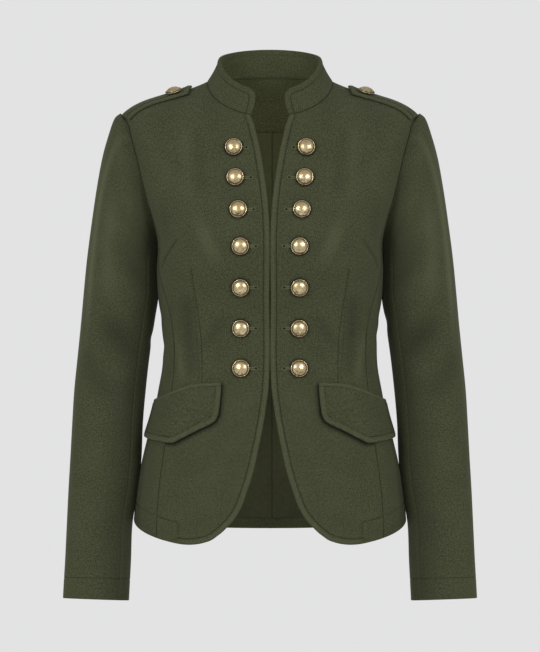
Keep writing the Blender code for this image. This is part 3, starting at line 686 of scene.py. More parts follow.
def shell_faces(rows, columns):
    """Quads of an outer and an inner grid, and of the rim between them."""
    count = rows * columns
    r, c = np.meshgrid(np.arange(rows - 1), np.arange(columns - 1), indexing="ij")
    corner = (r * columns + c).ravel()
    outer = np.stack([corner, corner + 1, corner + columns + 1, corner + columns], axis=1)
    inner = outer[:, ::-1] + count
    rim = np.concatenate(
        [
            np.arange(columns),
            np.arange(1, rows) * columns + columns - 1,
            (rows - 1) * columns + np.arange(columns - 2, -1, -1),
            np.arange(rows - 2, 0, -1) * columns,
        ]
    )
    there = np.roll(rim, -1)
    sides = np.stack([rim, rim + count, there + count, there], axis=1)
    return np.concatenate([outer, inner, sides])


def closed_volume(points, faces):
    """Signed volume inside a closed mesh of quads or triangles."""
    corners = points[faces]
    total = 0.0
    for i in range(1, faces.shape[1] - 1):
        total += np.einsum("ij,ij->i", corners[:, 0], np.cross(corners[:, i], corners[:, i + 1])).sum()
    return total


def placed(name, mesh, stuff):
    """A finished mesh as an object of the blazer's body."""
    mesh.materials.append(stuff)
    made = bpy.data.objects.new(name, mesh)
    bpy.context.scene.collection.objects.link(made)
    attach(made, "root")
    return made


def add_values(mesh, name, values):
    """A value or a vector for each point of a mesh, for its material."""
    kind, key = ("FLOAT_VECTOR", "vector") if values.ndim == 2 else ("FLOAT", "value")
    layer = mesh.attributes.new(name, kind, "POINT")
    layer.data.foreach_set(key, values.astype(np.float32).ravel())


def add_mesh(name, points, faces, stuff, hand=1, attributes=None, sharp=50):
    """A mesh object of the blazer, mirrored for the wearer's right, with its faces turned out."""
    points = points.reshape(-1, 3) * np.array([hand, 1.0, 1.0])
    faces = np.asarray(faces)
    if closed_volume(points, faces) < 0:
        faces = faces[:, ::-1]
    mesh = bpy.data.meshes.new(name)
    mesh.from_pydata(points.tolist(), [], faces.tolist())
    for key, values in (attributes or {}).items():
        add_values(mesh, key, values)
    mesh.shade_smooth()
    mesh.set_sharp_from_angle(angle=math.radians(sharp))
    return placed(name, mesh, stuff)


def cloth_places(grid, anchor=0):
    """Flat cloth coordinates of a grid: across from its anchor column, and up its anchor column."""
    steps = np.linalg.norm(np.diff(grid, axis=1), axis=-1)
    across = np.concatenate([np.zeros((len(grid), 1)), np.cumsum(steps, axis=1)], axis=1)
    across = across - across[:, [anchor]]
    rise = np.linalg.norm(np.diff(grid[:, anchor], axis=0), axis=-1)
    up = np.concatenate([[0], np.cumsum(rise)])[:, None] + 0 * across
    return np.stack([across, up, 0 * across], axis=-1)


def mirrored(grid, axis=1):
    """A left half and its mirror image, joined at the centre line that they share."""
    other = np.flip(grid * MIRROR, axis)
    return np.concatenate([grid, np.delete(other, 0, axis)], axis)


def cloth_shell(name, outer, inner, stuff, hand, shade, anchor=0):
    """A cloth piece as a closed thin shell. shade is painted shade in seams, grooves and hollows where it
    is above 0, to 1, and painted light where it is below."""
    places = cloth_places(outer, anchor).reshape(-1, 3)
    shade = shade.ravel()
    attributes = {
        "weave": np.concatenate([places, places + np.array([0.37, 0.11, 0.0])]),
        "patina_and_painted_shading": np.concatenate([shade, 0 * shade]),
    }
    points = np.concatenate([outer.reshape(-1, 3), inner.reshape(-1, 3)])
    made = add_mesh(name + "_cloth", points, shell_faces(*outer.shape[:2]), stuff, hand, attributes)
    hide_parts(name)
    return made


def grid_normals(grid, wrap=False):
    """Outward normals of a grid, from its own lines."""
    if wrap:
        across = np.roll(grid, -1, axis=1) - np.roll(grid, 1, axis=1)
    else:
        across = np.gradient(grid, axis=1)
    return unit(np.cross(across, np.gradient(grid, axis=0)))


def inset(points, sides):
    """Moves the named borders of a grid half a seam gap in from where the next piece's border is."""
    moved = points.copy()
    cuts = {"left": np.s_[:, 0], "right": np.s_[:, -1], "bottom": np.s_[0], "top": np.s_[-1]}
    beside = {"left": np.s_[:, 1], "right": np.s_[:, -2], "bottom": np.s_[1], "top": np.s_[-2]}
    for side in sides:
        moved[cuts[side]] += SEAM_GAP / 2 * unit(points[beside[side]] - points[cuts[side]])
    return moved


# Cloth pieces of the torso.


def front_relief(hand, x, z):
    """How far a front's whole cloth stands off the torso: its creases and the dips of its buttons."""
    whole = -crease_relief(FRONT_CREASES, hand, x, z, MM)
    for height, across_x in zip(BUTTONS["height"], BUTTONS["from_centre"]):
        whole = whole - groove(np.hypot(x - across_x, z - height), *BUTTON_DIP)
    return whole


def flat_line(line, x, z):
    """Distance of points from a line, both seen from in front."""
    points = np.stack([x, z], axis=-1)
    return from_line(points, np.stack([line["x"], line["z"]], axis=-1))


def front_lift(hand, x, z):
    """How far a front's face stands off the torso at a point away from its borders."""
    dart = groove(flat_line(WAIST_DART, x, z), *WAIST_DART_GROOVE)
    fold = groove(flat_line(WAIST_FOLD, x, z), *WAIST_FOLD_GROOVE)
    side_dart = groove(flat_line(SIDE_DART, x, z), *SIDE_DART_GROOVE)
    return front_relief(hand, x, z) - (dart + fold) - side_dart


def front_edge_line(side):
    return torso(u_at_x(side, front_gap), side)


def front_grid():
    """(u, ring heights, positions along each ring, its length) of a front's grid."""
    side = even_rows(HEM, NECK, front_edge_line)
    near_hem = HEM + PLAIN_EDGE_LINES[1:]
    near_neck = NECK - SEAM_LINES[1:]
    side = with_lines(side[1:-1], np.concatenate([[HEM], near_hem, near_neck, [NECK]]))
    low, high = u_at_x(side, front_gap), side_panel_edge(side, False)
    u, run = ring_runs(low, high, side)
    edge = torso(low, side)
    slope = unit(np.gradient(edge, axis=0))
    stretch = np.minimum(4.0, 1 / np.maximum(np.abs(slope[:, 2]), 0.1))
    guide_u = u_at_x(side, lambda z: np.interp(z, DART_GUIDE["z"], DART_GUIDE["x"]))
    guide = np.array([np.interp(g, v, r) for g, v, r in zip(guide_u, u, run)])
    length = run[:, -1]
    room = np.maximum(stretch * EDGE_LINES[-1] + 4 * DART_LINES[-1], 0)
    guide = np.clip(guide, room, length - 3 * SEAM_LINES[-1] - 2 * DART_LINES[-1])
    positions = spaced(length, EDGE_LINES, SEAM_LINES, (guide,))
    count = len(EDGE_LINES)
    widened = EDGE_LINES[None] * stretch[:, None]
    before_guide = np.maximum(guide - EDGE_LINES[-1], MM)[:, None]
    free = np.clip((guide[:, None] - positions[:, count:]) / before_guide, 0, 1)
    shifted = positions[:, count:] + (widened[:, -1:] - EDGE_LINES[-1]) * free
    positions = np.concatenate([widened, shifted], axis=1)
    return u_at_runs(u, run, positions), side, positions, length


def front(hand, stuff):
    u, side, positions, length = front_grid()
    rings = side[:, None] + 0 * u
    base, normal = torso(u, rings), torso_normal(u, rings)
    edge, hem = base[:, 0], base[0]
    from_edge, from_hem = from_line(base, edge), from_line(base, hem)
    corner = hem[hem[:, 0] < HEM_CORNER_X]
    stitched_line = np.concatenate([corner[::-1], edge])
    from_stitched = from_line(base, stitched_line)
    from_seam = np.minimum(length[:, None] - positions, from_line(base, base[-1]))
    from_free = np.minimum(from_edge, from_hem)
    x, z = base[..., 0], base[..., 2]
    band = hem_band_groove(base, hem, x > HEM_CORNER_X) + corner_groove(x, z, hem)
    lift = front_lift(hand, x, z) + puffed(from_stitched) - rolled(from_seam) - band
    whole = front_relief(hand, x, z)
    round_off = rounded(from_free, EDGE_ROUND)
    skin = base + normal * (lift - round_off)[..., None]
    outer = inset(skin, ("right", "top"))
    inner = base + normal * (whole - CLOTH + round_off)[..., None]
    inner[:, -1] += outer[:, -1] - skin[:, -1]
    # The front's painted shade lies in its seam, along its stitches, in the hem band's groove, along its
    # darts and round its buttons and flap; its raised edge band gets painted highlight, and its soft
    # hollows painted shade and painted light.
    shades = [SEAM_PAINTED_SHADE * rolled(from_seam) / SEAM_ROLL, 0.45 * stitch_share(from_stitched)]
    shades.append(0.5 * band / (FRONT_BAND_GROOVE[0] * MM))
    shades += [painted_dart_shade(x, z), painted_button_shadow(x, z), painted_flap_shadow(base)]
    patina_and_painted_shading = np.max(shades, axis=0) + edge_highlight(from_stitched) + painted_soft_shading(hand, x, z)
    name = "front_" + side_name(hand)
    return cloth_shell(name, rounded_corner(outer), rounded_corner(inner), stuff, hand, patina_and_painted_shading)


def rounded_corner(points):
    """Points of a front, lifted beside its lowest point so that the hem runs round it smoothly."""
    reach = CORNER["reach"]
    beside = np.clip(reach - np.abs(points[..., 0] - CORNER["x"]), 0, None)
    fade = np.exp(-(((points[..., 2] - CORNER["z"]) / CORNER["height"]) ** 2))
    moved = points.copy()
    moved[..., 2] += CORNER["slope"] / (2 * reach) * beside**2 * fade
    return moved


def side_name(hand):
    return "left" if hand > 0 else "right"


def stitch_share(distance):
    return np.exp(-(((distance - STITCH_FROM_EDGE) / STITCH_WIDTH) ** 2))


def stitched_painted_shading(distance):
    """Painted shade along a stitched border's row of stitches, and painted highlight on its raised edge
    band.
    """
    return STITCH_PAINTED_SHADE * stitch_share(distance) + edge_highlight(distance)


def edge_highlight(distance):
    """Painted highlight on the puffed band along a stitched edge, as a negative share."""
    return -EDGE_HIGHLIGHT * np.exp(-(((distance - EDGE_BAND_PLACE) / EDGE_HIGHLIGHT_WIDTH) ** 2))


def painted_button_shadow(x, z):
    """Painted shadow on the cloth that each button covers, fading out just past its rim."""
    shade = 0 * x
    for height, across_x in zip(BUTTONS["height"], BUTTONS["from_centre"]):
        past = np.hypot(x - across_x, z - height) - BUTTON_RADIUS
        shade = np.maximum(shade, np.clip(1.3 - past / BUTTON_SHADOW_REACH, 0, 1))
    return shade


def painted_flap_shadow(points):
    """Painted shadow on the cloth beneath a pocket flap and along its free borders."""
    share = np.linspace(0, 1, 60)
    top, bottom = flap_heights(share)
    u, side = flap_grid(share, np.stack([bottom, top]), np.array([[FLAP_FRONT_SLANT], [0.0]]))
    edges = torso(u, side)
    border = np.concatenate([edges[1, :1], edges[0]])
    return np.exp(-((from_line(points, border) / FLAP_SHADOW_REACH) ** 2))


def painted_soft_shading(hand, x, z):
    """Painted shade in the soft hollows beside the waist dart and under the bust, and painted light on the
    bust, the chest and beside the dart.
    """
    return crease_relief(FRONT_PAINTED_SHADING, hand, x, z, MM) / MM


def painted_dart_shade(x, z):
    # Painted shade along the darts and the fold beside the waist dart.
    lines = ((SIDE_DART, 0.9, 0.9), (WAIST_FOLD, 0.25, 0.9), (WAIST_DART, 0.25, 0.8))
    grooves = [share * groove(flat_line(line, x, z), 1 / MM, width) for line, share, width in lines]
    return np.max(grooves, axis=0)


def hem_band_groove(base, hem, where):
    """Stitched top of the turned-up hem band."""
    distance = np.abs(from_line(base, hem) - HEM_BAND)
    return groove(distance, *FRONT_BAND_GROOVE) * where


def corner_groove(x, z, hem):
    """Upright row of stitches that ends the hem band beside the rounded corner."""
    foot = np.interp(x, hem[:, 0], hem[:, 2])
    return groove(np.abs(x - HEM_CORNER_X), *BAND_GROOVE) * (z < foot + HEM_BAND)


def panel_grid(top, first_edge, last_edge):
    """(u, ring heights, positions, widths) of a panel from the hem to the top, between two edges."""
    extra = np.concatenate([HEM + PLAIN_EDGE_LINES, HEM + HEM_BAND + DART_LINES, top - SEAM_LINES])
    side = with_lines(even_rows(HEM, top), extra)
    u, run = ring_runs(first_edge(side), last_edge(side), side)
    positions = spaced(run[:, -1], SEAM_LINES, SEAM_LINES)
    u = u_at_runs(u, run, positions)
    return u, side[:, None] + 0 * u, positions, run[:, -1:]


def hemmed_panel(base, normal, whole, positions, width):
    """(outer skin, inner skin, share of seam roll) of a panel with a stitched hem band."""
    from_seam = np.minimum(positions, width - positions)
    from_seam = np.minimum(from_seam, from_line(base, base[-1]))
    from_hem = from_line(base, base[0])
    round_off = rounded(from_hem, EDGE_ROUND)
    band = groove(from_hem - HEM_BAND, *BAND_GROOVE)
    lift = whole - rolled(from_seam) - band - round_off
    outer = base + normal * lift[..., None]
    inner = base + normal * (whole - CLOTH + round_off)[..., None]
    return outer, inner, rolled(from_seam) / SEAM_ROLL


def front_seam(side):
    return side_panel_edge(side, False)


def back_seam(side):
    return side_panel_edge(side, True)


def centre_seam(side):
    return np.full_like(side, CENTRE_BACK)


def side_panel(hand, stuff):
    u, rings, positions, width = panel_grid(UNDERARM, front_seam, back_seam)
    fade = np.clip((rings - (UNDERARM - PANEL_BEND)) / PANEL_BEND, 0, 1) ** 2
    rings = rings + (armhole_floor(u[-1])[None] - UNDERARM) * fade
    base, normal = torso(u, rings), torso_normal(u, rings)
    across = positions / width * CREASE_SPAN
    whole = -crease_relief(SIDE_CREASES, hand, across, base[..., 2], CREASE_SPAN)
    outer, inner, seam = hemmed_panel(base, normal, whole, positions, width)
    moved = inset(outer, ("left", "right", "top"))
    # The seam share serves as painted shade in the panel's seams.
    return cloth_shell("side_" + side_name(hand), moved, inner + (moved - outer), stuff, hand, seam)


def back(hand, stuff):
    u, rings, positions, width = panel_grid(NECK, back_seam, centre_seam)
    base, normal = torso(u, rings), torso_normal(u, rings)
    whole = -crease_relief(BACK_CREASES, hand, base[..., 0], base[..., 2], MM)
    outer, inner, seam = hemmed_panel(base, normal, whole, positions, width)
    moved = inset(outer, ("left", "top"))
    moved[:, -1, 0] = -BACK_LAP
    moved[-1] += NECK_TUCK * unit(outer[-1] - outer[-2])
    inner = inner + (moved - outer)
    # The backs carry painted shade in their seams, scaled by the seam's shade share.
    return cloth_shell("back_" + side_name(hand), moved, inner, stuff, hand, SEAM_PAINTED_SHADE * seam, -1)


# Collar.


def collar_point(u, rise):
    """The stand collar between its seam on the neck ring (rise 0) and its top edge (rise 1)."""
    turn = (u - SIDE) * math.pi
    share = np.sin(turn)
    depth = np.where(share < 0, COLLAR_TOP["front_depth"], COLLAR_TOP["back_depth"])
    end = np.where(share < 0, COLLAR_TOP["front"], COLLAR_TOP["back"])
    top = np.stack(
        [
            COLLAR_TOP["half_width"] * np.cos(turn),
            share * depth,
            COLLAR_TOP["side"] + (end - COLLAR_TOP["side"]) * np.abs(share) ** COLLAR_TOP["fall_power"],
        ],
        axis=-1,
    )
    foot = torso(u, NECK)
    belly = np.sin(math.pi * rise)[..., None] * COLLAR_TOP["belly"]
    outward = unit(foot * np.array([1.0, 1.0, 0.0]))
    return foot + (top - foot) * rise[..., None] - outward * belly


def collar_grid():
    """(surface points, normals, distances from edge and seam) of the collar's left half, from its front end
    to the centre back.
    """
    seam, top = (collar_point(np.array(SIDE), np.array(rise)) for rise in (0.0, 1.0))
    height = np.linalg.norm(top - seam)
    rows = spaced_line(height, SEAM_LINES, EDGE_LINES) / height
    gap = smooth(COLLAR_END["rise"], COLLAR_END["half_gap"], rows)
    low, high = np.zeros_like(rows), np.full_like(rows, SIDE)
    for _ in range(HALVINGS):
        middle = (low + high) / 2
        short = collar_point(middle, rows)[..., 0] < gap
        low, high = np.where(short, middle, low), np.where(short, high, middle)
    share = np.linspace(0, 1, 300)
    u = low[:, None] + (CENTRE_BACK - low)[:, None] * share
    dense = collar_point(u, rows[:, None] + 0 * u)
    steps = np.linalg.norm(np.diff(dense, axis=1), axis=-1)
    run = np.concatenate([np.zeros((len(rows), 1)), np.cumsum(steps, axis=1)], axis=1)
    u = u_at_runs(u, run, spaced(run[:, -1], EDGE_LINES, np.array([0.0])))
    rise = rows[:, None] + 0 * u
    step = 2e-3
    along = collar_point(u + step, rise) - collar_point(u - step, rise)
    up = collar_point(u, rise + step) - collar_point(u, rise - step)
    normal = unit(np.cross(along, up))
    base = collar_point(u, rise)
    border = np.concatenate([base[:, 0], base[-1]])
    return base, normal, from_line(base, border), from_line(base, base[0])


def collar(stuff):
    base, normal, from_edge, from_seam = collar_grid()
    round_off = rounded(from_edge, EDGE_ROUND)
    lift = puffed(from_edge) - rolled(from_seam) - round_off
    outer = base + normal * lift[..., None]
    inner = base + normal * (round_off - COLLAR_CLOTH - 0.4 * puffed(from_edge))[..., None]
    outer[0] += SEAM_GAP / 2 * unit(outer[1] - outer[0])
    # Painted shade in the neck seam and along the stitches, and painted highlight on the edge band.
    patina_and_painted_shading = np.maximum(rolled(from_seam) / SEAM_ROLL, stitched_painted_shading(from_edge))
    patina_and_painted_shading = np.concatenate([patina_and_painted_shading, patina_and_painted_shading[:, -2::-1]], axis=1)
    return cloth_shell("collar", mirrored(outer), mirrored(inner), stuff, 1, patina_and_painted_shading, base.shape[1] - 1)


# Sleeves.


def sleeve_rings(k, t):
    """Rings of a sleeve at loop positions k, for places t from the cap (0) to the cuff (17)."""
    turn = 2 * math.pi * k / LOOP_POINTS
    power = 2.0 / SLEEVE_ROUND
    out_share = signed_power(np.cos(turn), power)
    front_share = signed_power(np.sin(turn), power)
    loop = armhole_loop(k)[0]
    top, floor = armhole_loop(0)[0], armhole_loop(LOOP_POINTS / 2)[0]
    whole_loop = armhole_loop(np.arange(LOOP_POINTS))[0]
    near, far = whole_loop[:, 1].min(), whole_loop[:, 1].max()

    def ring(outer_x, outer_z, inner_x, inner_z, middle_y, half_depth, tilt):
        middle = np.array([(outer_x + inner_x) / 2, middle_y, (outer_z + inner_z) / 2])
        reach = np.array([(outer_x - inner_x) / 2, 0.0, (outer_z - inner_z) / 2])
        depth = np.array([0.0, -half_depth, tilt])
        return middle + out_share[:, None] * reach + front_share[:, None] * depth

    plain_hole = ring(top[0], top[2], floor[0], floor[2], (near + far) / 2, (far - near) / 2, 0.0)
    knots = np.arange(len(SLEEVE["tilt"]))
    rings = []
    for place in t:
        sizes = [float(smooth(knots, column, place)) for column in SLEEVE.values()]
        keep = max(0.0, 1 - place / SLEEVE_SETTLE) ** 2
        rings.append(ring(*sizes) + keep * (loop - plain_hole))
    return np.array(rings)


def sleeve_grid(columns):
    """(grid, rows in its turned seam, distances from the cuff) of a sleeve's columns."""
    knots = np.arange(len(SLEEVE["tilt"]))
    fine = np.linspace(0, knots[-1], 1200)
    path = np.stack([smooth(knots, SLEEVE[name], fine) for name in ("outer_x", "outer_z")], axis=-1)
    run = np.concatenate([[0], np.cumsum(np.linalg.norm(np.diff(path, axis=0), axis=-1))])
    marks = spaced_line(run[-1], np.array([0.0]), PLAIN_EDGE_LINES, (run[-1] - CUFF_BAND,))
    k = columns % LOOP_POINTS
    tube = sleeve_rings(k, np.interp(marks, run, fine))
    loop, loop_normal = armhole_loop(k)
    step = 0.05
    ahead, behind = armhole_loop(k + step)[0], armhole_loop(k - step)[0]
    into = unit(np.cross(loop_normal, unit(ahead - behind)))
    away = unit(tube[0] - loop)
    under = np.exp(-(((k - LOOP_POINTS / 2) / UNDERARM_REACH) ** 2))[:, None]
    upward = np.array([0.0, 0.0, 1.0])
    seam = loop + into * ARMHOLE_GAP
    crest = seam + away * SLEEVE_TURN + upward * SLEEVE_TURN * 0.4 * under
    foot = seam - loop_normal * SEAM_ROLL * (1 - under)
    swell = crest + TURN_SWELL * (crest - foot)
    rows = [foot]
    for share in TURN_SHARES:
        rows.append((1 - share) ** 2 * foot + 2 * share * (1 - share) * swell + share**2 * tube[0])
    return np.concatenate([np.array(rows), tube]), len(rows), run[-1] - marks


def sleeve(hand, part, stuff):
    """The top or the under part of a two-piece sleeve."""
    first, last = SLEEVE_SEAM_FRONT, SLEEVE_SEAM_BACK
    if part == "top":
        first, last = SLEEVE_SEAM_BACK, SLEEVE_SEAM_FRONT + LOOP_POINTS
    columns = spaced_line((last - first) * SLEEVE_STEP, SEAM_LINES, SEAM_LINES)
    k = first + columns / SLEEVE_STEP
    wide = np.concatenate([[k[0] - SLEEVE_PAST], k, [k[-1] + SLEEVE_PAST]])
    grid, turn_rows, above_cuff = sleeve_grid(wide)
    normal = grid_normals(grid)
    centre = grid.mean(axis=1, keepdims=True)
    if part == "top" and (normal * (grid - centre)).sum() < 0:
        normal = -normal
    if part == "under" and (normal[len(normal) // 2, :, 0]).sum() > 0:
        normal = -normal
    grid, normal = grid[:, 1:-1], normal[:, 1:-1]
    loop_at = (k % LOOP_POINTS)[None]
    whole = -crease_relief(SLEEVE_CREASES, hand, loop_at * LOOP_STEP, grid[..., 2], LOOP_STEP)
    whole[:turn_rows] = 0
    whole[turn_rows:] *= np.clip(np.arange(len(whole) - turn_rows) / SLEEVE_EASE, 0, 1)[:, None]
    from_seam = np.minimum(columns, columns[-1] - columns)[None] + 0 * whole
    above = np.concatenate([np.full(turn_rows, above_cuff[0]), above_cuff])[:, None]
    round_off = rounded(above, EDGE_ROUND) + 0 * whole
    lift = whole - rolled(from_seam) - groove(above - CUFF_BAND, *CUFF_GROOVE) - round_off
    outer = grid + normal * lift[..., None]
    moved = inset(outer, ("left", "right"))
    inner = grid + normal * (whole - CLOTH + round_off)[..., None] + (moved - outer)
    patina_and_painted_shading = SEAM_PAINTED_SHADE * rolled(from_seam) / SEAM_ROLL
    # Painted shade on the side of the arm that faces the body.
    inward = (grid[..., 0] - grid[..., 0].min(axis=1, keepdims=True)) / INNER_ARM_SHADE_REACH
    patina_and_painted_shading = np.maximum(patina_and_painted_shading, INNER_ARM_PAINTED_SHADE * np.exp(-(inward**2)))
    # Painted shade and painted light of the sleeve's soft folds.
    soft = crease_relief(SLEEVE_PAINTED_SHADING, hand, loop_at * LOOP_STEP, grid[..., 2], LOOP_STEP) / MM
    patina_and_painted_shading = patina_and_painted_shading + soft
    # Painted shade on the rows of the turned armhole seam.
    patina_and_painted_shading[:2] = 0.5
    name = f"sleeve_{part}_{side_name(hand)}"
    return cloth_shell(name, moved, inner, stuff, hand, patina_and_painted_shading, moved.shape[1] // 2)


# Pockets, epaulettes and what lies inside the neck.


def ring_through(u, z):
    """Side height of the ring that passes height z at u."""
    side = np.array(z, float)
    for _ in range(12):
        side = side + (z - torso(u, side)[..., 2])
    return side


def flap_grid(share, z, slant=0.0):
    """(u, side) for a flap's columns at the heights z."""
    side = z.copy()
    for _ in range(4):
        first = u_at_x(side, lambda height: FLAP_FRONT_X + slant)
        last = u_at_depth(side, FLAP_SIDE_DEPTH)
        u = first + (last - first) * share
        side = ring_through(u, z)
    return u, side


def flap_heights(share):
    """Heights of a flap's top and of its free edge at shares of its width."""
    return [np.interp(share, FLAP["round_share"], FLAP[edge]) for edge in ("top", "bottom")]


def flap_skin(hand):
    """(base, normals, lift of the underside) of a flap's grid, from its free edge to its top."""
    share = spaced_line(FLAP_WIDTH, EDGE_LINES, EDGE_LINES) / FLAP_WIDTH
    top, bottom = flap_heights(share)
    drop = (top - bottom).max()
    down = spaced_line(drop, EDGE_LINES, np.array([0.0]))[:, None] / drop
    slant = FLAP_FRONT_SLANT * (1 - down) ** 1.5
    u, side = flap_grid(share, bottom + (top - bottom) * down, slant)
    lift = FLAP_LIFT[1] + (FLAP_LIFT[0] - FLAP_LIFT[1]) * down
    return torso(u, side), torso_normal(u, side), lift + crease_share(hand, share, down)


def flap(hand, stuff):
    base, normal, lift = flap_skin(hand)
    border = np.concatenate([base[::-1, 0], base[0], base[:, -1]])
    from_edge = from_line(base, border)
    round_off = rounded(from_edge, EDGE_ROUND)
    outer = base + normal * (lift + FLAP_CLOTH + puffed(from_edge) - round_off)[..., None]
    inner = base + normal * (lift + round_off)[..., None]
    name = "pocket_flap_" + side_name(hand)
    return cloth_shell(name, outer, inner, stuff, hand, stitched_painted_shading(from_edge))


def crease_share(hand, share, down):
    """The flap's own slight wave, stronger at its free edge."""
    return (0.5 + 0.2 * hand) * MM * np.sin(math.pi * (1.3 * share + 0.2 * hand)) * (1 - down)


def welt(hand, stuff):
    share = spaced_line(FLAP_WIDTH, PLAIN_EDGE_LINES, PLAIN_EDGE_LINES) / FLAP_WIDTH
    u, side = flap_grid(share, flap_heights(share)[0] + WELT_ROWS[:, None])
    base, normal = torso(u, side), torso_normal(u, side)
    border = np.concatenate([base[::-1, 0], base[0], base[:, -1], base[-1][::-1]])
    round_off = rounded(from_line(base, border), WELT_ROUND)
    outer = base + normal * (WELT_LIFT + WELT_CLOTH - round_off)[..., None]
    inner = base + normal * (WELT_LIFT + 0.4 * round_off)[..., None]
    name = "pocket_welt_" + side_name(hand)
    # The whole welt gets painted highlight as a raised band.
    return cloth_shell(name, outer, inner, stuff, hand, np.full(round_off.shape, -EDGE_HIGHLIGHT))


def shoulder_side(x):
    """The ring whose side point is this far from the centre plane, along the shoulder seam."""
    ridge = TORSO["side"] >= SHOULDER_POINT
    return np.interp(-x, -TORSO["half_width"][ridge], TORSO["side"][ridge])


def strap_point(along, beside):
    """(point, normal) on the torso under the strap: along it to the neck 0 to 1, across it -1 to 1."""
    end = STRAP["tip_x"] + STRAP["point"] * np.abs(beside)
    x = STRAP["from_x"] + (end - STRAP["from_x"]) * along
    side = shoulder_side(x)
    middle = (STRAP["back_depth"] - STRAP["front_depth"]) / 2
    reach = (STRAP["back_depth"] + STRAP["front_depth"]) / 2
    depth = middle + reach * beside * (1 - STRAP["taper"] * along**3)
    behind, before = (u_at_depth(side, np.abs(depth), back) for back in (True, False))
    u = np.where(depth > 0, behind, before)
    return torso(u, side), torso_normal(u, side)


def strap_lift(along):
    return STRAP["lift"] + (STRAP["tip_lift"] - STRAP["lift"]) * along**4


def strap_grid():
    """(shares along, shares across, points, normals) of the strap's grid."""
    along = spaced_line(STRAP_LENGTH, PLAIN_EDGE_LINES, EDGE_LINES, cell=STRAP_CELL) / STRAP_LENGTH
    beside = 2 * spaced_line(STRAP_WIDTH, EDGE_LINES, EDGE_LINES, cell=STRAP_CELL) / STRAP_WIDTH - 1
    along, beside = np.meshgrid(along, beside, indexing="ij")
    point, normal = strap_point(along, beside)
    sewn_end = unit(point[0] - point[3])
    point = point + sewn_end[None] * STRAP_TUCK * (1 - along[..., None]) ** 12
    return along, beside, point, normal


def strap(hand, stuff):
    along, _, point, normal = strap_grid()
    border = np.concatenate([point[:, 0], point[-1], point[::-1, -1]])
    from_edge = from_line(point, border)
    round_off = rounded(from_edge, EDGE_ROUND)
    lift = strap_lift(along)
    ridge = groove(from_edge - EDGE_BAND_PLACE, *STRAP_RIDGE)
    outer = point + normal * (lift + STRAP_CLOTH + 0.7 * puffed(from_edge) + ridge - round_off)[..., None]
    inner = point + normal * (lift + round_off)[..., None]
    name = "epaulette_" + side_name(hand)
    return cloth_shell(name, outer, inner, stuff, hand, stitched_painted_shading(from_edge))


def facing(stuff):
    """Shaped facing inside the back neck, from shoulder seam to shoulder seam."""
    u = np.linspace(FACING["from_u"], CENTRE_BACK, FACING["columns"])
    share = (u - u[0]) / (u[-1] - u[0])
    foot = FACING["shoulder"] + (FACING["drop"] - FACING["shoulder"]) * share**0.8
    down = np.linspace(0, 1, FACING["rows"])[:, None]
    side = foot + (FACING["top"] - foot) * down
    u = u[None] + 0 * side
    base, normal = torso(u, side), torso_normal(u, side)
    under = CLOTH + FACING["under"]
    from_foot = from_line(base, base[0])
    fold = rounded(from_foot, 0.6 * MM)
    outer = base - normal * (under + fold)[..., None]
    turned = groove(from_foot, *FACING_TURN)
    inner = base - normal * (under + FACING_CLOTH + turned - fold)[..., None]
    outer, inner = mirrored(outer), mirrored(inner)
    return cloth_shell("back_facing", outer, inner, stuff, 1, np.zeros(outer.shape[:2]), len(share) - 1)


def pleat(x):
    """Depth of the lining's centre-back pleat, which folds over towards the wearer's left."""
    along = (x - LINING_PLEAT["fold_x"]) / LINING_PLEAT["width"]
    lip = np.clip((x - LINING_PLEAT["fold_x"]) / (0.8 * MM), 0, 1)
    return LINING_PLEAT["depth"] * lip * np.clip(1 - along, 0, 1) ** 1.5


def lining(stuff):
    """Back lining between the facing and the hem, pleated down its middle."""
    bottom = HEM + LINING_HEM
    rows = with_lines(even_rows(bottom, LINING_TOP, cell=LINING_CELL), bottom + PLAIN_EDGE_LINES)
    start = side_panel_edge(rows, True)
    share = np.linspace(LINING_FROM_SIDE, 1.0, 60)[:-1]
    share = np.concatenate([share, [0.994, 0.9975]])
    half_u = start[:, None] + (CENTRE_BACK - start)[:, None] * share
    side = np.repeat(rows[:, None], len(share), axis=1)
    left, normal = torso(half_u, side), torso_normal(half_u, side)
    skin = np.concatenate([left, (left * MIRROR)[:, ::-1]], axis=1)
    outward = np.concatenate([normal, (normal * MIRROR)[:, ::-1]], axis=1)
    x, z = skin[..., 0], skin[..., 2]
    sunk = pleat(x)
    for place, width, depth in LINING_WAVES:
        drift = place * MM + LINING_DRIFT[0] * np.sin(z / LINING_DRIFT[1] + place)
        sunk = sunk + groove(x - drift, depth, width) * np.clip(-z / LINING_FADE, 0, 1)
    fold = rounded(from_line(skin, skin[0]), 0.5 * MM)
    outer = skin - outward * (CLOTH + LINING_UNDER + sunk + fold)[..., None]
    inner = skin - outward * (CLOTH + LINING_UNDER + sunk + LINING_CLOTH - fold)[..., None]
    # Painted shadow of the pleat: darkest along its fold line, and fainter over the side that it folds
    # over.
    past = x - LINING_PLEAT["fold_x"]
    patina_and_painted_shading = groove(past, 1 / MM, 2.2) + 0.4 * (past > 0) * groove(past, 1 / MM, 13)
    return cloth_shell("back_lining", outer, inner, stuff, 1, patina_and_painted_shading, len(share) - 1)


# Stitches.

# Rings of a stitch: share of its length, rise from the cloth in millimetres and share of its thickness.
THREAD_SHAPE = (
    (0.0, -0.20, 0.35),
    (0.14, 0.06, 0.85),
    (0.5, 0.22, 1.0),
    (0.86, 0.06, 0.85),
    (1.0, -0.20, 0.35),
)
THREAD_SIDES = 6
# Columns of a stitched border's grid that its outer and its inner row of stitches run along.
STITCH_COLUMN = int(np.argmin(np.abs(EDGE_LINES - STITCH_FROM_EDGE)))
INNER_COLUMN = 4


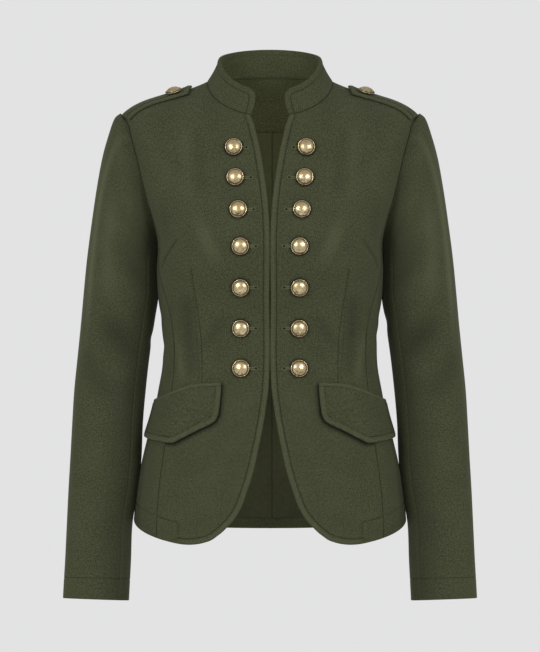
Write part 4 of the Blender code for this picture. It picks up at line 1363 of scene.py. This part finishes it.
def stitches(name, lines, hand, stuff, pitch=STITCH_PITCH, length=STITCH_LENGTH):
    """Rows of separate stitches along lines of (points, normals), as one piece."""
    points, faces = [], []
    ring_count = len(THREAD_SHAPE)
    for line, normals in lines:
        run = np.concatenate([[0], np.cumsum(np.linalg.norm(np.diff(line, axis=0), axis=-1))])
        count = int(run[-1] // pitch)
        starts = (np.arange(count) + 0.5) * run[-1] / max(count, 1) - length / 2

        def at(distance, values):
            return np.array([np.interp(distance, run, column) for column in values.T])

        for start in starts:
            first, last = at(start, line), at(start + length, line)
            way = unit(last - first)
            up = unit(at(start + length / 2, normals))
            beside = np.cross(up, way)
            base = len(points)
            for share, rise, size in THREAD_SHAPE:
                centre = first + (last - first) * share + up * rise * MM
                for i in range(THREAD_SIDES):
                    a = 2 * math.pi * i / THREAD_SIDES
                    points.append(centre + (beside * math.cos(a) + up * math.sin(a)) * THREAD * size)
            for ring in range(ring_count - 1):
                for i in range(THREAD_SIDES):
                    j = (i + 1) % THREAD_SIDES
                    low, high = base + ring * THREAD_SIDES, base + (ring + 1) * THREAD_SIDES
                    faces.append((low + i, low + j, high + j, high + i))
            end = base + (ring_count - 1) * THREAD_SIDES
            faces += [(base + 3, base + 2, base + 1, base), (base + 5, base + 4, base + 3, base)]
            faces += [(end, end + 1, end + 2, end + 3), (end, end + 3, end + 4, end + 5)]
    made = add_mesh(name, np.array(points), np.array(faces), stuff, hand)
    return made


def on_front(x, z):
    """(u, side) of the point of the front's surface seen at this place from in front."""
    x, z = np.asarray(x, float), np.asarray(z, float)
    side = z.copy()
    for _ in range(5):
        u = u_at_x(side, lambda height: x)
        side = ring_through(u, z)
    return u, side


def front_line(hand, x, z, sink=0.0):
    """(points, normals) along a line on a front, at the depth of its stitches."""
    u, side = on_front(x, z)
    point, normal = torso(u, side), torso_normal(u, side)
    lift = front_relief(hand, x, z) - sink
    return rounded_corner(point + normal * lift[..., None]), normal


def hem_line(share, first_edge, last_edge):
    """(points, normals) along the top of the hem band between two edges of a panel."""
    side = np.full(len(share), HEM + HEM_BAND)
    low, high = first_edge(side), last_edge(side)
    u = low + (high - low) * share
    return torso(u, side), torso_normal(u, side)


def offset_inward(line, normal, distance):
    """A line moved sideways on the surface, to the left of its own run seen from outside."""
    way = unit(np.gradient(line, axis=0))
    return line + unit(np.cross(normal, way)) * distance


def front_stitches(hand, stuff):
    side = even_rows(HEM, NECK - STITCH_FROM_EDGE, front_edge_line, 4 * MM)
    edge_u = u_at_x(side, front_gap)
    edge = torso(edge_u, side)
    hem_side = np.full(24, HEM)
    corner_u = np.linspace(u_at_x(np.array([HEM]), lambda z: HEM_CORNER_X)[0], edge_u[0], 25)[:-1]
    corner = torso(corner_u, hem_side)
    border = np.concatenate([corner, edge])
    normal = torso_normal(np.concatenate([corner_u, edge_u]), np.concatenate([hem_side, side]))
    inward = offset_inward(border, normal, -STITCH_FROM_EDGE)
    if inward[-1, 0] < border[-1, 0]:
        inward = offset_inward(border, normal, STITCH_FROM_EDGE)
    lines = [front_line(hand, inward[:, 0], inward[:, 2], THREAD_SINK)]
    rows = np.linspace(0, 1, 60)
    dart_z = WAIST_DART["z"][0] + (WAIST_DART["z"][-1] - WAIST_DART["z"][0]) * rows
    dart_x = np.interp(-dart_z, -WAIST_DART["z"], WAIST_DART["x"])
    lines.append(front_line(hand, dart_x, dart_z, 0.45 * MM))
    foot_u = np.linspace(corner_u[0], side_panel_edge(np.array([HEM]), False)[0], 40)
    foot = torso(foot_u, np.full(40, HEM))
    foot_normal = torso_normal(foot_u, np.full(40, HEM))
    raised = foot + unit(np.cross(foot_normal, unit(np.gradient(foot, axis=0)))) * HEM_BAND
    if raised[0, 2] < foot[0, 2]:
        raised = 2 * foot - raised
    inside = raised[:, 0] > HEM_CORNER_X
    lines.append(front_line(hand, raised[inside, 0], raised[inside, 2], 0.3 * MM))
    upright = np.linspace(foot[0, 2] + 1.5 * MM, raised[inside][0, 2], 12)
    lines.append(front_line(hand, np.full(12, HEM_CORNER_X), upright, 0.3 * MM))
    return stitches("stitches_front_" + side_name(hand), lines, hand, stuff)


def hem_stitches(hand, stuff):
    share = np.linspace(0.01, 0.99, 50)
    lines = []
    for edges in ((front_seam, back_seam), (back_seam, centre_seam)):
        point, normal = hem_line(share, *edges)
        lines.append((point - normal * 0.3 * MM, normal))
    return stitches("stitches_hem_" + side_name(hand), lines, hand, stuff)


def cuff_stitches(hand, stuff):
    k = np.linspace(0, LOOP_POINTS, 121)
    knots = np.arange(len(SLEEVE["tilt"]))
    above = abs(SLEEVE["outer_z"][-1] - SLEEVE["outer_z"][-2])
    place = knots[-1] - CUFF_BAND / above
    rings = sleeve_rings(k % LOOP_POINTS, np.array([place - 0.05, place, place + 0.05]))
    normal = unit(rings[1] - rings[1].mean(axis=0))
    line = rings[1] - normal * 0.35 * MM
    return stitches("stitches_cuff_" + side_name(hand), [(line, normal)], hand, stuff)


def grid_path(points, normals, parts):
    """A line along rows and columns of a grid. parts are slices of it, in order."""
    line = np.concatenate([points[part].reshape(-1, 3) for part in parts])
    return line, np.concatenate([normals[part].reshape(-1, 3) for part in parts])


def collar_stitches(stuff):
    base, normal, _, _ = collar_grid()
    skin = base - normal * THREAD_SINK
    i, top = STITCH_COLUMN, -1 - STITCH_COLUMN
    line, normals = grid_path(skin, normal, [np.s_[2:top, i], np.s_[top, i:]])
    return stitches("stitches_collar", [(mirrored(line, 0), mirrored(normals, 0))], 1, stuff)


def flap_stitches(hand, stuff):
    base, normal, lift = flap_skin(hand)
    skin = base + normal * (lift + FLAP_CLOTH - THREAD_SINK)[..., None]
    i = STITCH_COLUMN
    parts = [np.s_[-2 : i : -1, i], np.s_[i, i : -i - 1], np.s_[i:-2, -i - 1]]
    return stitches("stitches_flap_" + side_name(hand), [grid_path(skin, normal, parts)], hand, stuff)


def strap_stitches(hand, stuff):
    along, _, point, normal = strap_grid()
    skin = point + normal * (strap_lift(along) + STRAP_CLOTH - 0.1 * MM)[..., None]
    lines = []
    for i in (INNER_COLUMN, STITCH_COLUMN):
        parts = [np.s_[2 : -1 - i, i], np.s_[-1 - i, i : -i - 1], np.s_[-1 - i : 2 : -1, -i - 1]]
        lines.append(grid_path(skin, normal, parts))
    return stitches("stitches_epaulette_" + side_name(hand), lines, hand, stuff)


# Buttonholes and buttons.

EYE_RADIUS = 2.05 * MM
SLIT_HALF = 1.05 * MM


def keyhole(reach, count=72):
    """Closed outline of a keyhole buttonhole: its slit from 0 to reach, and the round eye there."""
    outline = []
    turn = math.asin(SLIT_HALF / EYE_RADIUS)
    for a in np.linspace(math.pi - turn, turn - math.pi, count // 2):
        outline.append((reach + EYE_RADIUS * math.cos(a), EYE_RADIUS * math.sin(a)))
    slit = np.linspace(reach - EYE_RADIUS, 0, count // 4)[1:]
    outline += [(s, -SLIT_HALF) for s in slit]
    outline += [(s, SLIT_HALF) for s in slit[::-1]]
    return np.array(outline)


def buttonholes(hand, thread_stuff, dark_stuff):
    """Seven worked keyhole buttonholes, each from under its button to its eye by the front edge."""
    thread_points, thread_faces, slit_points, slit_faces = [], [], [], []
    sides = 6
    for height, from_centre, eye in zip(BUTTONS["height"], BUTTONS["from_centre"], BUTTONS["eye"]):
        reach = from_centre - eye
        outline = keyhole(reach)
        x = from_centre - outline[:, 0]
        z = height + outline[:, 1]
        line, normal = front_line(hand, x, z)
        way = unit(np.roll(line, -1, axis=0) - np.roll(line, 1, axis=0))
        beside = np.cross(normal, way)
        swell = 1 + 0.22 * np.cos(np.arange(len(line)) * math.pi)
        base = len(thread_points)
        for i, centre in enumerate(line):
            for j in range(sides):
                a = 2 * math.pi * j / sides
                out = beside[i] * math.cos(a) * 0.92 + normal[i] * math.sin(a) * 0.50
                thread_points.append(centre + normal[i] * 0.25 * MM + out * MM * swell[i])
        count = len(line)
        for i in range(count):
            for j in range(sides):
                here, there = base + i * sides, base + (i + 1) % count * sides
                k = (j + 1) % sides
                thread_faces.append((here + j, here + k, there + k, there + j))
        middle, middle_normal = front_line(hand, np.array([from_centre - reach]), np.array([height]))
        # Dark sheets fill each slit and eye as painted shade of the hole.
        floor_base = len(slit_points)
        for layer in (0.16, -0.1):
            slit_points.extend(line + normal * layer * MM)
            slit_points.append(middle[0] + middle_normal[0] * layer * MM)
        layer_size = count + 1
        for i in range(count):
            j = (i + 1) % count
            top, low = floor_base, floor_base + layer_size
            slit_faces.append((top + i, top + j, top + count, top + count))
            slit_faces.append((low + j, low + i, low + count, low + count))
            slit_faces.append((top + j, top + i, low + i, low + j))
    name = side_name(hand)
    points, faces = np.array(thread_points), np.array(thread_faces)
    worked = add_mesh("buttonholes_" + name, points, faces, thread_stuff, hand)
    faces = [tuple(dict.fromkeys(face)) for face in slit_faces]
    points = np.array(slit_points) * np.array([hand, 1.0, 1.0])
    mesh = bpy.data.meshes.new("buttonhole_slits_" + name)
    mesh.from_pydata(points.tolist(), [], [face[::hand] for face in faces])
    slits = placed("buttonhole_slits_" + name, mesh, dark_stuff)


# Turned outline of a button as shares of its radius: out from the axis, up from the cloth, and how
# much dark patina lies there.
BUTTON_FOOT = (
    (0.0, 0.02, 0.6),
    (0.26, 0.02, 0.6),
    (0.27, 0.11, 0.8),
    (0.80, 0.12, 0.9),
    (0.955, 0.13, 0.8),
    (0.985, 0.15, 0.5),
    (1.0, 0.18, 0.3),
    (1.0, 0.205, 0.1),
    (0.99, 0.228, 0.0),
    (0.972, 0.243, 0.0),
    (0.952, 0.247, 0.0),
    (0.935, 0.238, 0.2),
    (0.916, 0.215, 1.0),
    (0.892, 0.195, 1.0),
    (0.862, 0.205, 1.0),
)
DOME_FROM = 0.838
DOME_FOOT = 0.235
DOME_CROWN = 0.60
# How much of the cloth's backward slope a button on its shank gives up to face straight ahead.
BUTTON_DROOP = 0.62
DOME_RINGS = 26
BUTTON_SIDES = 72
PETALS = 8
EMBOSS = 0.010


def dome_height(r):
    return DOME_FOOT + (DOME_CROWN - DOME_FOOT) * (1 - (r / DOME_FROM) ** 2.3) ** 0.62


def emboss(r, a):
    """Generic low relief on the dome: a plain eight-petalled rosette inside a faint ring of beads."""
    beads = np.exp(-(((r - 0.62) / 0.030) ** 2)) * (0.6 + 0.4 * np.cos(30 * a))
    reach = 0.43 * (0.60 + 0.40 * np.abs(np.cos(PETALS / 2 * a)) ** 0.8)
    petal = 1 / (1 + np.exp(np.minimum((r - reach) / 0.030, 30)))
    past_boss = np.clip((r - 0.10) / 0.08, 0, 1)
    vein = np.exp(-((np.abs(np.sin(PETALS / 2 * a)) / 0.25) ** 2)) * petal * past_boss
    boss = np.exp(-((r / 0.10) ** 4))
    return EMBOSS * (0.8 * beads + petal - 0.5 * vein + 0.8 * boss)


def button_stand(normal, radius, droop):
    """(axis, seat, rise) of a button: how far its foot and its plate stand off the sloping cloth."""
    axis = unit(normal * np.array([1.0, 1.0, 1.0 - droop]))
    tilt = np.linalg.norm(np.cross(axis, normal))
    foot, (plate, plate_up) = BUTTON_FOOT[1][0], BUTTON_FOOT[4][:2]
    seat = BUTTON_SEAT + foot * radius * tilt
    rise = (BUTTON_SEAT + plate * radius * tilt) / math.sqrt(1 - tilt**2) - plate_up * radius - seat
    return axis, seat, max(0.0, rise)


def button(name, place, normal, radius, hand, stuff, turned=0.0, droop=0.0):
    axis, seat, rise = button_stand(normal, radius, droop)
    side_way = unit(np.cross(axis, np.array([0.0, 0.0, 1.0])))
    up_way = np.cross(side_way, axis)
    angles = 2 * math.pi * np.arange(BUTTON_SIDES) / BUTTON_SIDES
    rings, shade = [], []
    for row, (out, up, dark) in enumerate(BUTTON_FOOT[1:]):
        rings.append((out + 0 * angles, up + (rise / radius if row else 0.0) + 0 * angles))
        shade.append(dark + 0 * angles)
    for r in np.linspace(DOME_FROM, 0.02, DOME_RINGS):
        relief = emboss(r, angles + turned)
        rings.append((r + 0 * angles, dome_height(r) + relief + rise / radius))
        low_places = np.clip(0.5 - relief / EMBOSS, 0, 1) * 0.55 * (r < 0.70)
        shade.append(low_places + np.clip((r - 0.785) / 0.035, 0, 1))
    points = [place + axis * (seat + BUTTON_FOOT[0][1] * radius)]
    patina_and_painted_shading = [0.6]
    for (out, up), dark in zip(rings, shade):
        for i, a in enumerate(angles):
            way = side_way * math.cos(a) + up_way * math.sin(a)
            points.append(place + way * out[i] * radius + axis * (seat + up[i] * radius))
            patina_and_painted_shading.append(dark[i])
    points.append(place + axis * (seat + rise + (dome_height(0.0) + emboss(0.0, 0.0)) * radius))
    patina_and_painted_shading.append(0.0)
    n, last = BUTTON_SIDES, len(points) - 1
    faces = []
    for ring in range(len(rings) - 1):
        low, high = 1 + ring * n, 1 + (ring + 1) * n
        faces += [(low + i, low + (i + 1) % n, high + (i + 1) % n, high + i) for i in range(n)]
    top = 1 + (len(rings) - 1) * n
    caps = [(0, 1 + (i + 1) % n, 1 + i) for i in range(n)]
    caps += [(top + i, top + (i + 1) % n, last) for i in range(n)]
    mirror = np.array([hand, 1.0, 1.0])
    mesh = bpy.data.meshes.new(name)
    turned_faces = [face[::hand] for face in faces + caps]
    mesh.from_pydata((np.array(points) * mirror).tolist(), [], turned_faces)
    ways = np.stack([side_way, up_way, axis], axis=1)
    add_values(mesh, "patina_and_painted_shading", np.array(patina_and_painted_shading))
    add_values(mesh, "weave", (np.array(points) - place) @ ways / radius)
    mesh.shade_smooth()
    made = placed(name, mesh, stuff)
    return made


def button_place(height, across_x):
    low, high = HEM, NECK
    for _ in range(40):
        side = (low + high) / 2
        u = u_at_x(side, lambda z: across_x)
        low, high = (side, high) if torso(u, side)[2] < height else (low, side)
    return torso(u, side), torso_normal(u, side)


def buttons(stuff):
    for row, (height, across_x) in enumerate(zip(BUTTONS["height"], BUTTONS["from_centre"])):
        stand = button_place(height, across_x)
        for hand in (1, -1):
            name = f"button_{side_name(hand)}_{row + 1}"
            turned = 0.7 * row + 0.3 * hand
            made = button(name + "_turned", *stand, BUTTON_RADIUS, hand, stuff, turned, BUTTON_DROOP)
            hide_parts(name)
    share = (STRAP["from_x"] - STRAP["button_x"]) / (STRAP["from_x"] - STRAP["tip_x"])
    point, normal = strap_point(np.array(share), np.array(STRAP["button_share"]))
    place = point + normal * (strap_lift(share) + STRAP_CLOTH)
    for hand in (1, -1):
        name = "epaulette_button_" + side_name(hand)
        made = button(name + "_turned", place, normal, STRAP_BUTTON_RADIUS, hand, stuff, 0.2)
        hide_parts(name)


# Materials.


class Nodes:
    """A material's node tree, with short calls for the nodes that its patterns are made of."""

    def __init__(self, name):
        self.material = bpy.data.materials.new(name)
        self.material.use_nodes = True
        self.tree = self.material.node_tree
        self.shader = self.tree.nodes["Principled BSDF"]

    def add(self, kind, **values):
        node = self.tree.nodes.new(kind)
        for key, value in values.items():
            setattr(node, key, value)
        return node

    def link(self, source, target):
        self.tree.links.new(source, target)

    def attribute(self, name):
        return self.add("ShaderNodeAttribute", attribute_name=name)

    def noise(self, vector, scale, detail=2.0, roughness=0.5):
        node = self.add("ShaderNodeTexNoise")
        self.link(vector, node.inputs["Vector"])
        node.inputs["Scale"].default_value = scale
        node.inputs["Detail"].default_value = detail
        node.inputs["Roughness"].default_value = roughness
        return node.outputs["Fac"]

    def math(self, operation, a, b):
        node = self.add("ShaderNodeMath", operation=operation)
        for socket, value in zip(node.inputs, (a, b)):
            if isinstance(value, (int, float)):
                socket.default_value = value
            else:
                self.link(value, socket)
        return node.outputs[0]

    def ranged(self, value, low, high, to_low, to_high):
        node = self.add("ShaderNodeMapRange")
        self.link(value, node.inputs["Value"])
        for key, number in zip(("From Min", "From Max", "To Min", "To Max"), (low, high, to_low, to_high)):
            node.inputs[key].default_value = number
        return node.outputs["Result"]

    def mix(self, share, a, b):
        node = self.add("ShaderNodeMix", data_type="RGBA")
        self.link(share, node.inputs["Factor"])
        for socket, value in ((node.inputs["A"], a), (node.inputs["B"], b)):
            if isinstance(value, tuple):
                socket.default_value = value
            else:
                self.link(value, socket)
        return node.outputs["Result"]

    def waves(self, vector, pitch, degrees, distortion=0.0):
        turn = self.add("ShaderNodeMapping")
        self.link(vector, turn.inputs["Vector"])
        turn.inputs["Rotation"].default_value = (0.0, 0.0, math.radians(degrees))
        node = self.add("ShaderNodeTexWave", wave_profile="SIN")
        self.link(turn.outputs["Vector"], node.inputs["Vector"])
        node.inputs["Scale"].default_value = 2 * math.pi / 20 / pitch
        node.inputs["Distortion"].default_value = distortion
        node.inputs["Detail"].default_value = 0.0
        return node.outputs["Fac"]

    def bump(self, height, strength, distance, under=None):
        node = self.add("ShaderNodeBump")
        node.inputs["Strength"].default_value = strength
        node.inputs["Distance"].default_value = distance
        self.link(height, node.inputs["Height"])
        if under is not None:
            self.link(under, node.inputs["Normal"])
        return node.outputs["Normal"]


# The last two colours are painted light and painted shade: the lighter one for painted highlights on raised
# bands, the bust and the sleeves, groove for painted shade in seams, stitches, darts, hollows and round
# buttons and flaps.
WOOL = {
    "dark": (0.0095, 0.0110, 0.0046, 1.0),
    "light": (0.0730, 0.0798, 0.0388, 1.0),
    "worn": (0.105, 0.116, 0.062, 1.0),
    "groove": (0.0085, 0.0095, 0.0045, 1.0),
    "twill_pitch": 1.6 * MM,
    "twill_degrees": 57.0,
}


def wool():
    """Olive wool-like twill: fine diagonal wales, a melange of lighter and darker fibres, soft sheen. Its
    shading values add painted shade and painted light.
    """
    made = Nodes("olive_wool")
    weave = made.attribute("weave").outputs["Vector"]
    fibres = made.noise(weave, 700.0, 2.0, 0.8)
    flecks = made.noise(weave, 330.0, 2.0, 0.6)
    clouds = made.noise(weave, 26.0, 2.0, 0.5)
    wales = made.waves(weave, WOOL["twill_pitch"], WOOL["twill_degrees"], 1.2)
    blend = made.math("ADD", made.math("MULTIPLY", fibres, 1.0), made.math("MULTIPLY", flecks, 0.30))
    blend = made.math("ADD", blend, made.math("MULTIPLY", wales, 0.10))
    blend = made.math("ADD", blend, made.math("MULTIPLY", clouds, 0.10))
    colour = made.mix(made.ranged(blend, 0.53, 0.93, 0.0, 1.0), WOOL["dark"], WOOL["light"])
    # Painted shade towards the groove colour where the shading value is above 0, painted light where it is
    # below.
    patina_and_painted_shading = made.attribute("patina_and_painted_shading").outputs["Fac"]
    colour = made.mix(made.ranged(patina_and_painted_shading, 0.04, 1.0, 0.0, 0.88), colour, WOOL["groove"])
    colour = made.mix(made.ranged(patina_and_painted_shading, -1.0, -0.02, 0.9, 0.0), colour, WOOL["worn"])
    made.link(colour, made.shader.inputs["Base Color"])
    made.link(made.ranged(fibres, 0.3, 0.7, 0.78, 0.95), made.shader.inputs["Roughness"])
    relief = made.bump(wales, 0.30, 0.12 * MM)
    relief = made.bump(fibres, 0.50, 0.22 * MM, relief)
    relief = made.bump(flecks, 0.20, 0.25 * MM, relief)
    made.link(relief, made.shader.inputs["Normal"])
    made.shader.inputs["Specular IOR Level"].default_value = 0.2
    made.shader.inputs["Sheen Weight"].default_value = 0.10
    made.shader.inputs["Sheen Roughness"].default_value = 0.45
    made.shader.inputs["Sheen Tint"].default_value = (0.78, 0.82, 0.58, 1.0)
    return made.material


# The groove colour is painted shade along the lining's pleat.
SATIN = {
    "dark": (0.027, 0.030, 0.0128, 1.0),
    "light": (0.048, 0.052, 0.025, 1.0),
    "groove": (0.010, 0.011, 0.005, 1.0),
    "pitch": 0.55 * MM,
}
BRASS = {
    "bright": (0.96, 0.81, 0.50, 1.0),
    "warm": (0.80, 0.61, 0.31, 1.0),
    "patina": (0.050, 0.028, 0.011, 1.0),
}
# Dark and light colour of each thread, and of the painted shade in the buttonholes. The sewing thread is
# darker than the cloth, with the painted shade of the grooves its stitches sink into.
THREADS = {
    "olive_thread": ((0.010, 0.011, 0.005, 1.0), (0.022, 0.024, 0.012, 1.0)),
    "buttonhole_thread": ((0.058, 0.063, 0.031, 1.0), (0.110, 0.119, 0.064, 1.0)),
    "hole_shade": ((0.003, 0.003, 0.0015, 1.0), (0.006, 0.0065, 0.003, 1.0)),
}


def satin():
    """Dull dark olive lining with a close plain weave, and painted shade along its pleat."""
    made = Nodes("olive_lining")
    weave = made.attribute("weave").outputs["Vector"]
    across = made.waves(weave, SATIN["pitch"], 0.0)
    up = made.waves(weave, SATIN["pitch"], 90.0)
    threads = made.math("MULTIPLY", across, up)
    slubs = made.noise(weave, 160.0, 3.0, 0.6)
    clouds = made.noise(weave, 14.0, 2.0, 0.5)
    blend = made.math("ADD", made.math("MULTIPLY", slubs, 0.6), made.math("MULTIPLY", clouds, 0.5))
    colour = made.mix(made.ranged(blend, 0.3, 0.8, 0.0, 1.0), SATIN["dark"], SATIN["light"])
    patina_and_painted_shading = made.attribute("patina_and_painted_shading").outputs["Fac"]
    colour = made.mix(made.ranged(patina_and_painted_shading, 0.2, 1.0, 0.0, 0.85), colour, SATIN["groove"])
    made.link(colour, made.shader.inputs["Base Color"])
    made.link(made.ranged(slubs, 0.3, 0.7, 0.5, 0.62), made.shader.inputs["Roughness"])
    made.link(made.bump(threads, 0.25, 0.06 * MM), made.shader.inputs["Normal"])
    made.shader.inputs["Specular IOR Level"].default_value = 0.18
    made.shader.inputs["Sheen Weight"].default_value = 0.05
    return made.material


def brass():
    """Antique brass: polished on the high places, browned in the grooves and in soft stains, and darker
    towards the lower side of each button.
    """
    made = Nodes("antique_brass")
    place = made.add("ShaderNodeTexCoord").outputs["Object"]
    patina_and_painted_shading = made.attribute("patina_and_painted_shading").outputs["Fac"]
    stains = made.noise(place, 330.0, 3.0, 0.6)
    scratches = made.noise(place, 2600.0, 2.0, 0.7)
    low = made.attribute("weave").outputs["Vector"]
    split = made.add("ShaderNodeSeparateXYZ")
    made.link(low, split.inputs["Vector"])
    # Darker towards the lower side of each button.
    worn = made.ranged(split.outputs["Y"], -0.85, 0.10, 0.55, 0.0)
    worn = made.math("MULTIPLY", worn, made.ranged(stains, 0.35, 0.65, 0.4, 1.6))
    dark = made.math("ADD", patina_and_painted_shading, made.math("ADD", worn, made.ranged(stains, 0.45, 0.75, 0.0, 0.26)))
    colour = made.mix(made.ranged(stains, 0.3, 0.7, 0.0, 1.0), BRASS["bright"], BRASS["warm"])
    colour = made.mix(made.ranged(dark, 0.10, 1.0, 0.0, 0.95), colour, BRASS["patina"])
    made.link(colour, made.shader.inputs["Base Color"])
    made.link(made.ranged(dark, 0.0, 1.0, 0.27, 0.55), made.shader.inputs["Roughness"])
    made.link(made.bump(scratches, 0.12, 0.03 * MM), made.shader.inputs["Normal"])
    made.link(made.ranged(dark, 0.25, 0.95, 1.0, 0.25), made.shader.inputs["Metallic"])
    return made.material


def thread(name):
    """Twisted sewing thread."""
    made = Nodes(name)
    place = made.add("ShaderNodeTexCoord").outputs["Object"]
    twist = made.noise(place, 3200.0, 2.0, 0.6)
    colour = made.mix(made.ranged(twist, 0.3, 0.7, 0.0, 1.0), *THREADS[name])
    made.link(colour, made.shader.inputs["Base Color"])
    made.link(made.ranged(twist, 0.3, 0.7, 0.6, 0.8), made.shader.inputs["Roughness"])
    made.link(made.bump(twist, 0.4, 0.08 * MM), made.shader.inputs["Normal"])
    made.shader.inputs["Specular IOR Level"].default_value = 0.15
    return made.material


# Camera, light and floor.

CAMERA = {"distance": 3.0, "height": -0.31, "pixel": 1.27 * MM, "image_height": 652, "sensor": 24.0}
PALE = 0.768
FLOOR = -1.40
FLOOR_RADIUS = 8.0
FLOOR_SIDES = 96
CENTRE = (0.0, 0.0, -0.30)
WHITE, WARM = (1.0, 1.0, 1.0), (1.0, 0.98, 0.84)
# Each light's name, place, aim, size, power and colour, and whether it shows in gloss.
LIGHTS = (
    ("front", (0.0, -3.6, 0.55), CENTRE, (1.6, 1.0), 16.0, WHITE, False),
    ("key_left", (-1.75, -2.5, 0.62), CENTRE, (0.8, 0.8), 34.0, WHITE, True),
    ("key_right", (1.75, -2.5, 0.62), CENTRE, (0.8, 0.8), 31.5, WHITE, True),
    ("rim_left", (-2.6, -0.5, 0.4), CENTRE, (0.6, 2.0), 17.0, WHITE, False),
    ("rim_right", (2.6, -0.5, 0.4), CENTRE, (0.6, 2.0), 17.0, WHITE, False),
    ("back", (0.0, 3.4, 0.5), CENTRE, (1.6, 1.0), 42.0, WHITE, False),
    ("inside", (0.0, -0.045, -0.11), (0.0, 0.12, -0.14), (0.09, 0.12), 0.165, WARM, False),
    ("inside_low", (0.0, -0.05, -0.47), (0.0, 0.13, -0.60), (0.10, 0.12), 0.095, WARM, False),
)


def camera():
    data = bpy.data.cameras.new("camera")
    data.sensor_fit = "VERTICAL"
    data.sensor_height = CAMERA["sensor"]
    data.lens = CAMERA["sensor"] * CAMERA["distance"] / (CAMERA["image_height"] * CAMERA["pixel"])
    data.clip_start, data.clip_end = 0.05, 60.0
    made = bpy.data.objects.new("camera", data)
    made.location = (0.0, -CAMERA["distance"], CAMERA["height"])
    made.rotation_euler = (math.pi / 2, 0.0, 0.0)
    bpy.context.scene.collection.objects.link(made)
    bpy.context.scene.camera = made


def area_light(name, place, aim, size, power, colour, in_gloss):
    data = bpy.data.lights.new(name, "AREA")
    data.shape = "RECTANGLE"
    data.size, data.size_y = size
    data.energy = power
    data.color = colour
    made = bpy.data.objects.new(name, data)
    made.location = place
    made.rotation_euler = (Vector(aim) - Vector(place)).to_track_quat("-Z", "Y").to_euler()
    made.visible_glossy, made.visible_camera = in_gloss, False
    bpy.context.scene.collection.objects.link(made)


def lights():
    for light in LIGHTS:
        area_light(*light)
    world = bpy.data.worlds.new("studio")
    bpy.context.scene.world = world
    world.use_nodes = True
    tree = world.node_tree
    shader = tree.nodes["Background"]
    path = tree.nodes.new("ShaderNodeLightPath")
    mix = tree.nodes.new("ShaderNodeMix")
    mix.data_type = "RGBA"
    mix.inputs["A"].default_value = (0.36, 0.36, 0.36, 1.0)
    mix.inputs["B"].default_value = (PALE, PALE, PALE * 1.008, 1.0)
    tree.links.new(path.outputs["Is Camera Ray"], mix.inputs["Factor"])
    tree.links.new(mix.outputs["Result"], shader.inputs["Color"])


def floor():
    """Wide pale disc under the blazer, fading out before its rim."""
    count = FLOOR_SIDES
    points = [(0.0, 0.0, FLOOR)]
    for radius in (1.0, 3.0, FLOOR_RADIUS):
        for i in range(count):
            a = 2 * math.pi * i / count
            points.append((radius * math.cos(a), radius * math.sin(a), FLOOR))
    faces = [(0, 1 + i, 1 + (i + 1) % count) for i in range(count)]
    for low in (1, 1 + count):
        for i in range(count):
            here, there = low + i, low + (i + 1) % count
            faces.append((here, here + count, there + count, there))
    mesh = bpy.data.meshes.new("floor")
    mesh.from_pydata(points, [], faces)
    made = bpy.data.objects.new("floor", mesh)
    bpy.context.scene.collection.objects.link(made)
    stuff = Nodes("pale_floor")
    place = stuff.add("ShaderNodeTexCoord").outputs["Object"]
    reach = stuff.add("ShaderNodeVectorMath", operation="LENGTH")
    stuff.link(place, reach.inputs[0])
    stuff.link(stuff.ranged(reach.outputs["Value"], 1.2, 4.2, 1.0, 0.0), stuff.shader.inputs["Alpha"])
    grain = stuff.mix(stuff.noise(place, 3.0), (0.80, 0.80, 0.80, 1.0), (0.84, 0.84, 0.84, 1.0))
    stuff.link(grain, stuff.shader.inputs["Base Color"])
    stuff.shader.inputs["Roughness"].default_value = 0.9
    mesh.materials.append(stuff.material)


# The blazer.


def build():
    olive, lining_cloth, metal = wool(), satin(), brass()
    sewing, binding, hole = (thread(name) for name in THREADS)
    for hand in (1, -1):
        front(hand, olive)
        side_panel(hand, olive)
        back(hand, olive)
        sleeve(hand, "top", olive)
        sleeve(hand, "under", olive)
        flap(hand, olive)
        welt(hand, olive)
        strap(hand, olive)
        for sew in (front_stitches, hem_stitches, cuff_stitches, flap_stitches, strap_stitches):
            sew(hand, sewing)
        buttonholes(hand, binding, hole)
    collar(olive)
    facing(olive)
    lining(lining_cloth)
    collar_stitches(sewing)
    buttons(metal)


bpy.context.scene.view_settings.view_transform = "Standard"
build()
camera()
lights()
floor()
